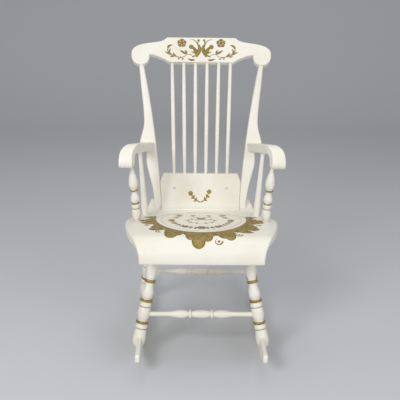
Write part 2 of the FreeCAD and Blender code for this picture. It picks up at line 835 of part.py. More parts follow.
def arm_dowels(room):
    """Two dowels from the back post into the end of the arm."""
    y = y_on(post_face_line, arm_dowel_z)
    middle = (post_flare[0][0] + x_on(post_inner_line, arm_dowel_z)) / 2
    along = side(math.cos(math.radians(arm_slope)), -math.sin(math.radians(arm_slope)))
    half = arm_dowel_length / 2 + hole_end(room) / 2
    places = [V(middle + s * arm_dowel_spread / 2, y, arm_dowel_z) for s in (-1, 1)]
    return [peg(p - along * half, p + along * half, arm_dowel_diameter / 2 + room) for p in places]


def seat_dowels(glue_y, room):
    """Dowels across one glue line of the seat."""
    z = (height_on(seat_top_line, glue_y) + height_on(seat_under_line, glue_y)) / 2
    half = seat_dowel_length / 2 + hole_end(room) / 2
    pitch = 2 * seat_dowel_span / (seat_dowel_count - 1)
    places = [-seat_dowel_span + i * pitch for i in range(seat_dowel_count)]
    radius = seat_dowel_diameter / 2 + room
    return [peg(V(x, glue_y - half, z), V(x, glue_y + half, z), radius) for x in places]


def cut_all(shape, cuts):
    for cut in cuts:
        shape = shape.cut(cut)
    return shape.Solids[0]


def both(shapes):
    return shapes + [mirrored(s) for s in shapes]


# Bores that the turned pieces need
leg_bores = [peg(leg.at(leg.length - entry), leg.at(leg.length + leg_tenon_depth + end_gap),
                 leg_tenon_diameter / 2 + fit) for leg in (leg_front, leg_rear)]
arm_post_low, arm_post_high = arm_post_axis.bores(arm_post_tenon_radius, arm_post_tenon_radius)
arm_spindle_low, arm_spindle_high = arm_spindle_axis.bores(arm_spindle_foot_radius, arm_spindle_top_radius)
spindle_low = [spindle_bores(i)[0] for i in range(spindle_count)]
spindle_high = [spindle_bores(i)[1] for i in range(spindle_count)]
lock_holes = [lock_pin(s, fit) for s in (-1, 1)]
seat_post_z = height_on(seat_top_line, post_foot_y)

# Seat, in three planks
seat = cut_all(seat_blank, both(leg_bores + [arm_post_low, arm_spindle_low, post_tenon(fit)]))
far = 4 * seat_rear_y
planks = {
    "seat_front_roll": (-far, front_glue_y, [front_glue_y]),
    "seat_board": (front_glue_y, rear_glue_y, [front_glue_y, rear_glue_y]),
    "seat_rear_rise": (rear_glue_y, far, [rear_glue_y]),
}
for name, (start, end, glue_lines) in planks.items():
    plank = seat.common(Part.makeBox(2 * far, end - start, far, V(-far, start, 0)))
    holes = [d for y in glue_lines for d in seat_dowels(y, fit)]
    keep(name, cut_all(plank, holes))
keep("seat_dowels", Part.makeCompound(seat_dowels(front_glue_y, 0) + seat_dowels(rear_glue_y, 0)))

# Under the seat
for name, leg, other in (("front", leg_front, leg_rear), ("rear", leg_rear, leg_front)):
    pair("leg_" + name, make_leg(leg, other))
    keep("stretcher_" + name, make_cross_stretcher(leg))
pair("stretcher_side", make_side_stretcher())
pair("rocker", cut_all(rocker, [rocker_pin(leg, fit) for leg in (leg_front, leg_rear)]))
keep("rocker_pins", Part.makeCompound(both([rocker_pin(leg, 0) for leg in (leg_front, leg_rear)])))

# Back
post_body = cut_all(post_blank, [seat_blank, crest_blank, post_plug(fit)] + arm_dowels(fit))
post_body = post_body.fuse(post_tenon(0)).fuse(post_head(0)).Solids[0]
pair("back_post", post_body)
keep("post_plugs", Part.makeCompound(both([post_plug(0)])))
keep("back_board", cut_all(make_board(), spindle_low + lock_holes))
keep("crest_rail", cut_all(crest_blank, spindle_high + both([post_head(fit)])))
for i in range(spindle_count):
    keep("back_spindle_%d" % (i + 1), cut_all(make_spindle(i), lock_holes))
keep("spindle_lock_pins", Part.makeCompound([lock_pin(s, 0) for s in (-1, 1)]))

# Arms
pair("arm", cut_all(arm_blank, [arm_post_high, arm_spindle_high] + arm_dowels(fit)))
keep("arm_dowels", Part.makeCompound(both(arm_dowels(0))))
pair("arm_post", make_arm_post())
pair("arm_spindle", make_arm_spindle())
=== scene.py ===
import math

import bpy
import numpy as np
from bpy.props import FloatProperty, FloatVectorProperty, PointerProperty
from bpy.types import Operator, Panel, PropertyGroup
from mathutils import Matrix, Vector


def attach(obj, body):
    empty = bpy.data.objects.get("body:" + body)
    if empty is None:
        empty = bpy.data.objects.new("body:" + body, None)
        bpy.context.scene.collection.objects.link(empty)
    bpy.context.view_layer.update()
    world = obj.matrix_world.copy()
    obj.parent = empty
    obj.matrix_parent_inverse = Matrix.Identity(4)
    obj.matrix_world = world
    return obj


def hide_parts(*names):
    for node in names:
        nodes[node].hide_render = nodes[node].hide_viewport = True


bl_info = {
    "name": "Boston Rocking Chair",
    "version": (1, 0, 0),
    "blender": (4, 5, 0),
    "location": "3D View > Sidebar > Chair",
    "description": "Shapes and paints the pieces of a Boston rocking chair around its frame",
    "category": "Object",
}

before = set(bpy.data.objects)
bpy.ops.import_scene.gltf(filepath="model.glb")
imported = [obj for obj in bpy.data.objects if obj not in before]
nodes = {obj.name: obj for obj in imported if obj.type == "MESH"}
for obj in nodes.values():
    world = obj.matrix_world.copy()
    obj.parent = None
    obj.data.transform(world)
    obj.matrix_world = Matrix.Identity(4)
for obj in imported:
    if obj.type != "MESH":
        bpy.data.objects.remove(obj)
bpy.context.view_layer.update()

BODY = "root"
SIDES = (("left", 1), ("right", -1))

# All lengths below are in metres, in the frame of the chair: it faces -Y, and +Z is up.

# Seat: its upper line in side view as (y, z), its edge in plan as (x, y), and its planks
ROLL_Y = -0.230
ROLL_RADIUS = 0.072
ROLL_TURN = math.radians(100)
SEAT_TOP_Z = 0.450
SEAT_THICKNESS = 0.030
SEAT_REAR_Y = 0.212
SEAT_LINE = [(ROLL_Y, SEAT_TOP_Z), (-0.195, SEAT_TOP_Z), (-0.090, 0.4475), (0.030, 0.4335),
             (0.112, 0.4215), (0.158, 0.426), (SEAT_REAR_Y, SEAT_TOP_Z)]
SEAT_PLAN = [(0.208, -0.303), (0.221, -0.280), (0.236, -0.245), (0.257, -0.169), (0.2675, -0.105),
             (0.266, -0.052), (0.248, -0.003), (0.229, 0.075), (0.207, 0.160), (0.192, SEAT_REAR_Y)]
FRONT_GLUE_Y = -0.195
REAR_GLUE_Y = 0.158
SEAT_PLANKS = (
    ("seat_rear_rise", None, REAR_GLUE_Y),
    ("seat_board", REAR_GLUE_Y, FRONT_GLUE_Y),
    ("seat_front_roll", FRONT_GLUE_Y, None),
)

# Back posts: curves as (y, z) and then as (x, z). The outer one is a spline, the rest are arcs.
POST_FOOT_Z = 0.424
POST_TOP_Z = 0.960
POST_FACE = [(0.156, 0.410), (0.22175, 0.688), (0.3135, 0.966)]
POST_BACK = [(0.186, 0.410), (0.24725, 0.688), (0.3345, 0.966)]
POST_INNER = [(0.1495, 0.410), (0.1755, 0.690), (0.2248, 0.966)]
POST_OUTER = [(0.1735, 0.410), (0.179, 0.465), (0.190, 0.521), (0.2025, 0.566), (0.2093, 0.605),
              (0.211, 0.638), (0.2185, 0.648), (0.2335, 0.666), (0.232, 0.684), (0.226, 0.706),
              (0.220, 0.732), (0.2195, 0.764), (0.2303, 0.865), (0.2412, 0.966)]

# Arms, in side view
ARM_SLOPE = math.radians(10.6)
ARM_ROLL = np.array([-0.092, 0.6649])
ARM_ROLL_RADIUS = 0.062
ARM_THICKNESS = 0.031
ARM_TIP_RADIUS = 0.019
ARM_TIP_RISE = 0.008
ARM_TIP_TURN = math.pi / 2 * 0.985
ARM_TIP_INSET = 0.006
ARM_HOLLOW_BOW = 0.009
ARM_HALF_WIDTH = 0.024
ARM_GUIDE_LENGTH = 0.31
# Plan edges: three arcs each, one after the other, from the rear end to the roll
ARM_OUTER = [(0.233, 0.222), (0.240, 0.060), (0.251, -0.066), (0.2563, -0.0895), (0.267, -0.111),
             (0.2777, -0.1325), (0.283, -0.156)]
ARM_INNER = [(0.178, 0.222), (0.201, 0.060), (0.217, -0.066), (0.2226, -0.099), (0.228, -0.115),
             (0.2335, -0.131), (0.2355, -0.156)]

# Back board and the plane that it shares with the spindles
BOARD_FOOT = (0.174, 0.430)
LEAN_TOP = (0.324, 0.966)
BOARD_LEAN = math.atan2(LEAN_TOP[0] - BOARD_FOOT[0], LEAN_TOP[1] - BOARD_FOOT[1])
BOARD_THICKNESS = 0.022
BOARD_HALF_DEPTH = BOARD_THICKNESS / 2 / math.cos(BOARD_LEAN)
BOARD_TOP_Z = 0.5515
BOARD_SHOULDER_Z = 0.521
BOARD_TOP_HALF = 0.1465
BOARD_CORNER = 0.007
BOARD_SUNK = 0.002
# Hollow at the foot of its front: radius, how far it starts above the seat, and the height at
# which the painted spray meets it
BOARD_COVE = 0.022
BOARD_COVE_RISE = 0.003
BOARD_COVE_TOP = 0.4515

# Crest rail: lean from the vertical, and the lower edge of its front face as (y, z)
CREST_LEAN = math.radians(29)
CREST_FOOT = (0.3093, 0.9675)

# Turned pieces of the left side: a point on the axis, another further up it, and the gilt bands
# round it, each between two heights along the axis
LEG_BANDS = [(0.0442, 0.0538), (0.1222, 0.1318), (0.1902, 0.2008), (0.0246, 0.0274), (0.1026, 0.1054)]
ARM_POST_BANDS = [(0.1158, 0.1212), (0.0477, 0.0503), (0.0660, 0.0710)]
TURNINGS = {
    "leg_front": ((0.212, -0.237, 0.0818), (0.1485, -0.168, 0.4198), LEG_BANDS),
    "leg_rear": ((0.218, 0.220, 0.0724), (0.178, 0.134, 0.3922), LEG_BANDS),
    "arm_post": ((0.228, -0.065, 0.4458), (0.2465, -0.099, 0.6982), ARM_POST_BANDS),
}

# How finely curves are sampled, and how far apart and how many the sections along them are
FLAT_SAMPLES = 240
ROLL_SAMPLES = 120
SPLINE_SAMPLES = 400
ARC_SAMPLES = 200
GUIDE_SAMPLES = 80
ARM_TIP_SAMPLES = 30
STEM_SAMPLES = 100
SEAT_SPACING = 0.004
ARM_SPACING = 0.0035
ARM_CROWDED = 0.012
ARM_CROWDED_STEPS = 16
ARM_EASED_STATIONS = 12
POST_STATIONS = 220
BOARD_STATIONS = 60
SHOULDER_STATIONS = 9
CORNER_STATIONS = 14
MOST_ROUNDING = 0.995
SHARP_ANGLE = math.radians(40)

# How much finer the brush marks are along X, Y and Z. They run along the axis with the least.
SEAT_MARKS = (6, 30, 6)
ARM_MARKS = (30, 6, 20)
UPRIGHT_MARKS = (30, 30, 5)
BOARD_MARKS = (6, 30, 30)
# Materials of the plain pieces: their brush marks, and the nodes that get them
PLAIN_PAINT = {
    "spindle_paint": ((40, 40, 5), ["arm_spindle_left", "arm_spindle_right"]
                      + ["back_spindle_%d" % n for n in range(1, 7)]),
    "stretcher_paint": ((5, 40, 40), ["stretcher_front", "stretcher_rear"]),
    "rocker_paint": ((40, 5, 40), ["stretcher_side_left", "stretcher_side_right", "rocker_left",
                                   "rocker_right"]),
}

# Gilding: how far the edge and the middle of a stroke stand off the surface, how deep its
# underside lies, its least half width, and the half width from which it stands up in full
PAINT_EDGE = 0.00010
PAINT_MIDDLE = 0.00035
PAINT_BURIED = -0.00040
LEAST_HALF = 0.00005
FULL_RISE_HALF = 0.002
LEAST_RISE = 0.25
# Half width of a stroke over its greatest, at the share u along it
PROFILES = {
    "leaf": lambda u: np.sin(math.pi * u ** 0.75) ** 0.8,
    "stem": lambda u: np.clip(np.minimum(u, 1 - u) * 12, 0, 1) ** 0.5,
    "tail": lambda u: np.clip(u * 12, 0, 1) ** 0.5 * (1 - u) ** 0.7,
    "disc": lambda u: np.sqrt(np.clip(1 - (2 * u - 1) ** 2, 0, None)),
    "petal": lambda u: np.sin(math.pi * u ** 1.5) ** 0.75,
    "lobe": lambda u: np.sin(math.pi * u ** 1.9) ** 0.55,
}
# A petal's points and width as shares of the flower's radius, and the radius of the eye
PETAL_POINTS = (0.20, 0.60, 1.0)
PETAL_WIDTH = 4.4
EYE = 0.34
# A small leaf's tip and middle: shares of its length ahead along the stem, and aside
LEAF_TIP = (0.62, 0.78)
LEAF_MIDDLE = (0.42, 0.30)

# Crest ornament, its half at -X: points (x, up the face), width, profile, and tone at both ends
LEAF_TONE = (0.1, 0.6)
CREST_STROKES = [
    ([(-0.014, 0.0210), (-0.020, 0.0255), (-0.036, 0.0210)], 0.006, "stem", (0.2, 0.3)),
    ([(-0.019, 0.0230), (-0.012, 0.0390), (-0.007, 0.0580), (-0.013, 0.0770)], 0.016, "leaf", (0.1, 0.3)),
    ([(-0.018, 0.0255), (-0.022, 0.0450), (-0.030, 0.0580), (-0.043, 0.0660)], 0.014, "leaf", (0.1, 0.5)),
    ([(-0.020, 0.0320), (-0.030, 0.0400), (-0.041, 0.0425)], 0.006, "leaf", LEAF_TONE),
    ([(-0.012, 0.0640), (-0.014, 0.0770), (-0.012, 0.0860)], 0.004, "stem", (0.5, 0.5)),
    ([(-0.012, 0.0700), (-0.020, 0.0840), (-0.032, 0.0925), (-0.0465, 0.0915)], 0.0052, "tail", (0.7, 0.4)),
    ([(-0.034, 0.0285), (-0.047, 0.0315), (-0.057, 0.0332)], 0.0028, "stem", LEAF_TONE),
    ([(-0.056, 0.0330), (-0.068, 0.0390), (-0.084, 0.0500)], 0.0090, "leaf", LEAF_TONE),
    ([(-0.057, 0.0335), (-0.059, 0.0425), (-0.0635, 0.0510)], 0.0075, "leaf", LEAF_TONE),
    ([(-0.056, 0.0330), (-0.066, 0.0230), (-0.080, 0.0190)], 0.0025, "stem", LEAF_TONE),
    ([(-0.0245, 0.0093), (-0.037, 0.0085), (-0.054, 0.0141)], 0.0085, "leaf", LEAF_TONE),
    ([(-0.080, 0.0190), (-0.099, 0.0231), (-0.116, 0.0310), (-0.129, 0.0440), (-0.1305, 0.0580)],
     0.0035, "stem", LEAF_TONE),
    ([(-0.096, 0.0225), (-0.106, 0.0310), (-0.1085, 0.0400)], 0.0085, "leaf", LEAF_TONE),
    ([(-0.104, 0.0250), (-0.114, 0.0225), (-0.123, 0.0255)], 0.0065, "leaf", LEAF_TONE),
    ([(-0.112, 0.0290), (-0.127, 0.0360), (-0.142, 0.0425)], 0.0085, "leaf", LEAF_TONE),
    ([(-0.122, 0.0370), (-0.123, 0.0470), (-0.117, 0.0560)], 0.0070, "leaf", LEAF_TONE),
    ([(-0.130, 0.0540), (-0.1265, 0.0640), (-0.1108, 0.0714)], 0.0095, "leaf", LEAF_TONE),
]
# Its flower and its dabs on either side: x, distance up the face, radius, then petals and turn,
# or the tone at both ends
CREST_FLOWER = (0.0758, 0.0790, 0.0185, 5, math.pi / 2)
CREST_DABS = [
    (0.0110, 0.0901, 0.0050, (0.4, 0.4)), (0.0391, 0.0630, 0.0090, (0.2, 0.2)),
    (0.0799, 0.0186, 0.0034, (0.9, 0.9)), (0.0870, 0.0140, 0.0034, (0.9, 0.9)),
    (0.0720, 0.0130, 0.0034, (0.9, 0.9)),
]

# Spray on the back board: the points (x, z) of its stems, a stem's width, the pairs of leaves on
# it with their length and width, and flowers as x, z, radius, petals and turn
BOARD_STEMS = [
    [(0.000, 0.446), (0.014, 0.454), (0.025, 0.466), (0.031, 0.480)],
    [(0.000, 0.446), (-0.016, 0.454), (-0.027, 0.464), (-0.034, 0.474)],
]
BOARD_STEM_WIDTH = 0.0042
BOARD_LEAVES = (3, 0.0130, 0.0065)
BOARD_FLOWERS = [(0.034, 0.486, 0.0085, 5, 0.4), (-0.038, 0.479, 0.0095, 5, 0.2)]

# Round field of the seat ornament. Places on the seat are (x, v), with v along its surface,
# back from the axis of the roll. Here are v of its middle, its radius, and the rings round it as
# radius, width and tone.
FIELD_V = 0.185
FIELD_RADIUS = 0.163
FIELD_RINGS = [(FIELD_RADIUS, 0.0022, 0.3), (0.144, 0.0012, 0.5)]
# Lobed leaves round the field: angle from straight forward, in degrees towards the sitter's left,
# how far the leaf reaches from the middle, its width, and how far it leans aside, in degrees
SURROUND = [
    (-98, 0.210, 0.022, -6), (-86, 0.221, 0.026, 5), (-72, 0.219, 0.024, -4), (-60, 0.205, 0.024, 5),
    (-49, 0.224, 0.034, -5), (-37, 0.218, 0.032, 6), (-26, 0.238, 0.036, -4), (-13, 0.222, 0.036, 5),
    (-4, 0.255, 0.046, 2), (7, 0.228, 0.034, -3), (18, 0.226, 0.030, 4), (28, 0.243, 0.038, -4),
    (40, 0.232, 0.032, 7), (51, 0.238, 0.034, 6), (63, 0.222, 0.026, -4), (74, 0.227, 0.026, 5),
    (87, 0.221, 0.024, -5), (98, 0.208, 0.020, 6),
]
# Side lobes of such a leaf: share of its reach, spread in degrees, and share of its width
SIDE_LOBES = ((0.62, 6.5, 0.60), (0.36, 9.5, 0.50))
LEAF_SUNK = 0.002
# The band that the leaves grow from: its middle line outside the field, width and end angles
BAND_OFFSET = 0.008
BAND_WIDTH = 0.020
BAND_END = 100
# Curled ends beside some of the leaves: angle and distance from the middle, and radius
CURLS = [(-43, 0.213, 0.010), (-31, 0.222, 0.010), (14, 0.232, 0.012), (34, 0.224, 0.011),
         (46, 0.226, 0.011), (-66, 0.205, 0.008), (69, 0.214, 0.008)]
CURL_TURN = np.radians(np.linspace(-60, 210, 7))
CURL_TILT = 0.8
CURL_WIDTH = 0.007
CURL_EYE = 0.40
# Spray inside the field, its half at -X: the points (x, v) of a stem, the pairs of leaves on it,
# and their length and width
FIELD_STEMS = [
    ([(0.000, 0.070), (-0.034, 0.076), (-0.066, 0.094), (-0.090, 0.122), (-0.104, 0.158)],
     8, 0.0170, 0.0085),
    ([(-0.092, 0.196), (-0.088, 0.226), (-0.078, 0.252), (-0.080, 0.276)], 4, 0.0190, 0.0085),
    ([(0.000, 0.128), (-0.026, 0.134), (-0.046, 0.154), (-0.044, 0.180), (-0.024, 0.188), (-0.014, 0.174)],
     5, 0.0120, 0.0060),
    ([(0.000, 0.214), (-0.020, 0.222), (-0.032, 0.242), (-0.030, 0.262)], 3, 0.0130, 0.0065),
]
FIELD_STEM_WIDTH = 0.0028
FIELD_TONE = (0.2, 0.9)
# Its flowers, on both sides and on the middle line: x, v, radius, petals and turn
SIDE_FLOWERS = [(0.080, 0.284, 0.014, 5, 0.6), (0.106, 0.172, 0.013, 5, 0.0),
                (0.056, 0.086, 0.013, 6, 0.0), (0.028, 0.272, 0.010, 5, 0.3)]
MIDDLE_FLOWERS = [(0.0, 0.074, 0.018, 6, 0.0), (0.0, 0.196, 0.016, 8, 0.0)]

# Studio: the view of the photograph, the lamps as place, size and share of the front power, and
# the seamless sweep
CAMERA_AT = Vector((-0.045, -2.570, 1.247))
CAMERA_YAW = math.radians(0.91)
CAMERA_PITCH = math.radians(16.13)
CAMERA_ROLL = math.radians(0.64)
CAMERA_FOCAL_PX = 737.7
PICTURE_PX = 400
SENSOR_MM = 36.0
FRONT_LAMPS = {
    "soft_box_front_left": ((-1.7, -3.0, 2.3), 1.2, 1.0),
    "soft_box_front_right": ((2.2, -3.0, 1.7), 1.8, 0.55),
}
TOP_LAMP_AT = (0, 0.4, 3.4)
TOP_LAMP_SIZE = 2.6
LAMP_TARGET = (0, 0, 0.5)
SWEEP_HALF_WIDTH = 9.0
SWEEP_FRONT_Y = -7.0
SWEEP_BEND_Y = 4.0
SWEEP_RADIUS = 2.0
SWEEP_HEIGHT = 7.0


def smooth_path(points, samples):
    """Points evenly spaced by chord along a natural cubic spline through the given points.

    On each span the place is the straight blend of its two ends, plus at each end the cube of
    the blend weight less the weight, times that end's second derivative and the span squared
    over six. The second derivatives solve the usual three-diagonal system.
    """
    p = np.asarray(points, float)
    knots = np.concatenate([[0.0], np.cumsum(np.linalg.norm(np.diff(p, axis=0), axis=1))])
    span = np.diff(knots)
    count = len(knots)
    inner = np.arange(1, count - 1)
    system = np.eye(count)
    system[inner, inner - 1] = span[:-1]
    system[inner, inner] = 2 * (span[:-1] + span[1:])
    system[inner, inner + 1] = span[1:]
    right = np.zeros_like(p)
    right[1:-1] = 6 * np.diff(np.diff(p, axis=0) / span[:, None], axis=0)
    bend = np.linalg.solve(system, right)
    at = np.linspace(0, knots[-1], samples)
    i = np.clip(np.searchsorted(knots, at) - 1, 0, count - 2)
    a = ((knots[i + 1] - at) / span[i])[:, None]
    b = 1 - a
    lift = (a ** 3 - a) * bend[i] + (b ** 3 - b) * bend[i + 1]
    return a * p[i] + b * p[i + 1] + lift * (span[i] ** 2)[:, None] / 6


def arc_path(points, samples):
    """Evenly spaced points of the circular arc through three points of a plane.

    The centre is equally far from all three, which is two linear equations. The points then
    run from the first angle round to the last.
    """
    a, b, c = np.asarray(points, float)
    system = 2 * np.array([b - a, c - a])
    centre = np.linalg.solve(system, [b @ b - a @ a, c @ c - a @ a])
    angle = np.unwrap([math.atan2(*(q - centre)[::-1]) for q in (a, b, c)])
    turn = np.linspace(angle[0], angle[2], samples)
    radius = np.linalg.norm(a - centre)
    return centre + radius * np.column_stack([np.cos(turn), np.sin(turn)])


def travel_along(path):
    """Distance travelled along a path up to each of its points."""
    return np.concatenate([[0.0], np.cumsum(np.linalg.norm(np.diff(path, axis=0), axis=1))])


def paced(length, spacing, first_round, last_round, round_steps=7):
    """Places along a path of this length: even in the middle, crowded over the two rounded ends.

    Over a rounded end the place is the radius times one less the cosine of an even angle.
    """
    angle = np.linspace(0, math.pi / 2, round_steps)
    first = first_round * (1 - np.cos(angle))
    last = length - last_round * (1 - np.cos(angle[::-1]))
    steps = max(2, int((last[0] - first[-1]) / spacing))
    middle = np.linspace(first[-1], last[0], steps + 1)[1:-1]
    places = np.concatenate([first if first_round else [0.0], middle, last if last_round else [length]])
    return np.unique(places.round(9))


def resample(travel, values, places):
    """Values of a path at other places along it, column by column."""
    return np.column_stack([np.interp(places, travel, column) for column in values.T])


def drawn_in(places, length, first_round, last_round):
    """How far a section draws in near the rounded ends.

    It is the radius less the height of its quarter circle at the place.
    """
    inset = np.zeros_like(places)
    for gap, radius in ((places, first_round), (length - places, last_round)):
        if radius:
            short = np.clip(radius - gap, 0, radius)
            inset = np.maximum(inset, radius - np.sqrt(radius ** 2 - short ** 2))
    return inset


def carried_section(centre, across, depth, rounding, crown=0.0, corner_steps=6, side_steps=9,
                    edge_steps=3):
    """A rounded rectangle carried along a path.

    At each station a point is the centre, plus a times the direction across, plus b times the
    direction of the depth. The pair (a, b) runs round a rectangle whose corners are quarter
    circles of the rounding. The two broad faces swell by the crown times one less the square of
    a over the half width. Returns the grid of points and how near each is to a corner.
    """
    half_a = np.linalg.norm(across, axis=1)
    half_b = np.linalg.norm(depth, axis=1)
    unit_a = across / half_a[:, None]
    unit_b = depth / half_b[:, None]
    radius = np.minimum(rounding, MOST_ROUNDING * np.minimum(half_a, half_b))
    flat_a = (half_a - radius)[:, None]
    flat_b = (half_b - radius)[:, None]
    radius = radius[:, None]
    a_parts, b_parts, near_parts = [], [], []
    signs = [(1, 1), (-1, 1), (-1, -1), (1, -1)]
    quarter = np.linspace(0, math.pi / 2, corner_steps)
    for corner, (sign_a, sign_b) in enumerate(signs):
        angle = quarter + corner * math.pi / 2
        a_parts.append(sign_a * flat_a + radius * np.cos(angle))
        b_parts.append(sign_b * flat_b + radius * np.sin(angle))
        near_parts.append(np.broadcast_to(np.sin(2 * quarter), a_parts[-1].shape))
        next_a, next_b = signs[(corner + 1) % 4]
        end = angle[-1]
        share = np.linspace(0, 1, (side_steps if corner % 2 == 0 else edge_steps) + 2)[1:-1]
        start_a = sign_a * flat_a + radius * math.cos(end)
        start_b = sign_b * flat_b + radius * math.sin(end)
        stop_a = next_a * flat_a + radius * math.cos(end)
        stop_b = next_b * flat_b + radius * math.sin(end)
        a_parts.append(start_a + (stop_a - start_a) * share)
        b_parts.append(start_b + (stop_b - start_b) * share)
        near_parts.append(np.zeros_like(a_parts[-1]))
    a = np.concatenate(a_parts, axis=1)
    b = np.concatenate(b_parts, axis=1)
    b = b + crown * (1 - (a / half_a[:, None]) ** 2) * b / half_b[:, None]
    points = centre[:, None, :] + a[:, :, None] * unit_a[:, None, :] + b[:, :, None] * unit_b[:, None, :]
    return points, np.concatenate(near_parts, axis=1)


def sawn_section(middle_x, half_x, middle, half_depth, rounding, **steps):
    """A carried section whose path is given in side view, and whose width lies along X."""
    zero = np.zeros(len(middle))
    grid, near = carried_section(
        np.column_stack([zero + middle_x, middle]), np.column_stack([zero + half_x, zero, zero]),
        np.column_stack([zero, half_depth]), rounding, **steps)
    return grid, {"edge": near}


def signed_volume(a, b, c):
    """Six times the volume between the origin and triangles with these corners."""
    return np.einsum("ij,ij->", a, np.cross(b - a, c - a))


def closed_grid(points):
    """Faces of a tube of stations by loop points, with a fan to a middle point at each end.

    Returns the points as a list with the two middle points last, and the faces turned so that
    the volume they hold is positive.
    """
    stations, loop = points.shape[:2]
    index = np.arange(stations * loop).reshape(stations, loop)
    after = np.roll(index, -1, axis=1)
    quads = np.stack([index[:-1], after[:-1], after[1:], index[1:]], axis=-1).reshape(-1, 4)
    flat = points.reshape(-1, 3)
    ends = np.stack([points[0].mean(axis=0), points[-1].mean(axis=0)])
    flat = np.concatenate([flat, ends])
    first, last = len(flat) - 2, len(flat) - 1
    fans = np.concatenate([
        np.stack([after[0], index[0], np.full(loop, first)], axis=-1),
        np.stack([index[-1], after[-1], np.full(loop, last)], axis=-1),
    ])
    a, b, c, d = (flat[quads[:, k]] for k in range(4))
    volume = signed_volume(a, b, c) + signed_volume(a, c, d)
    volume += signed_volume(*(flat[fans[:, k]] for k in range(3)))
    if volume < 0:
        quads, fans = quads[:, ::-1], fans[:, ::-1]
    return flat, quads, fans


def make_piece(name, parts, material):
    """One mesh object of several closed grids. Each part holds its points and its named values."""
    points, faces, values, offset = [], [], {}, 0
    for grid, attributes in parts:
        flat, quads, fans = closed_grid(grid)
        points.append(flat)
        faces += (quads + offset).tolist() + (fans + offset).tolist()
        for key, value in attributes.items():
            ends = [value[0].mean(), value[-1].mean()]
            values.setdefault(key, []).append(np.concatenate([value.ravel(), ends]))
        offset += len(flat)
    mesh = bpy.data.meshes.new(name)
    mesh.from_pydata(np.concatenate(points).tolist(), [], faces)
    for key, value in values.items():
        mesh.attributes.new(key, "FLOAT", "POINT").data.foreach_set("value", np.concatenate(value))
    mesh.shade_smooth()
    mesh.set_sharp_from_angle(angle=SHARP_ANGLE)
    mesh.materials.append(material)
    piece = bpy.data.objects.new(name, mesh)
    bpy.context.scene.collection.objects.link(piece)
    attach(piece, BODY)
    return piece


def replace_node(node, part, paint):
    """A piece with the shape of the part, which stands for a node of the frame."""
    piece = make_piece(node + "_shaped", [part], paint)
    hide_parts(node)


def replace_pair(stem, part, paint):
    """Both pieces of a pair: the part on the left, and its mirror image on the right."""
    grid, attributes = part
    for side, sign in SIDES:
        replace_node("%s_%s" % (stem, side), (grid * np.array([sign, 1.0, 1.0]), attributes), paint)


def finish_nodes(names, material):
    """Gives carried-over nodes their finish."""
    for name in names:
        mesh = nodes[name].data
        mesh.materials.clear()
        mesh.materials.append(material)


def seat_line(depth):
    """A line of the seat in side view, from the rear edge to the lip of the roll, as (y, z).

    It runs this deep below the upper line, and on the roll this far inside it.
    """
    flat = smooth_path(SEAT_LINE, FLAT_SAMPLES)[::-1] - [0, depth]
    turn = np.linspace(0, ROLL_TURN, ROLL_SAMPLES)[1:]
    radius = ROLL_RADIUS - depth
    roll_z = SEAT_TOP_Z - ROLL_RADIUS + radius * np.cos(turn)
    roll = np.column_stack([ROLL_Y - radius * np.sin(turn), roll_z])
    return np.concatenate([flat, roll])


def seat_half_width(y):
    """Half the seat's width at the place y, from its plan."""
    plan = smooth_path(SEAT_PLAN, SPLINE_SAMPLES)
    return np.interp(y, plan[:, 1], plan[:, 0])


def seat_plank(start_y, end_y, rounding):
    """A plank of the seat between two places y, rounded where a place is None, at the seat's end."""
    upper, lower = seat_line(0.0), seat_line(SEAT_THICKNESS)
    travel = travel_along(upper)
    flat_y, flat_travel = -upper[:FLAT_SAMPLES, 0], travel[:FLAT_SAMPLES]
    first = 0.0 if start_y is None else np.interp(-start_y, flat_y, flat_travel)
    last = travel[-1] if end_y is None else np.interp(-end_y, flat_y, flat_travel)
    first_round = rounding if start_y is None else 0.0
    last_round = rounding if end_y is None else 0.0
    places = paced(last - first, SEAT_SPACING, first_round, last_round)
    top = resample(travel, upper, places + first)
    under = resample(travel, lower, places + first)
    inset = drawn_in(places, last - first, first_round, last_round)
    depth = (top - under) / 2
    depth *= 1 - inset[:, None] / np.linalg.norm(depth, axis=1)[:, None]
    side = seat_half_width(np.maximum(top[:, 0], SEAT_PLAN[0][1])) - inset
    return sawn_section(0.0, side, (top + under) / 2, depth, rounding, side_steps=40)


def make_seat(scene):
    """Three planks, which meet at the seat's two glue lines."""
    paint = paint_material("seat_paint", scene.chair_finish, SEAT_MARKS)
    for node, start_y, end_y in SEAT_PLANKS:
        replace_node(node, seat_plank(start_y, end_y, scene.chair_shape.seat_rounding), paint)


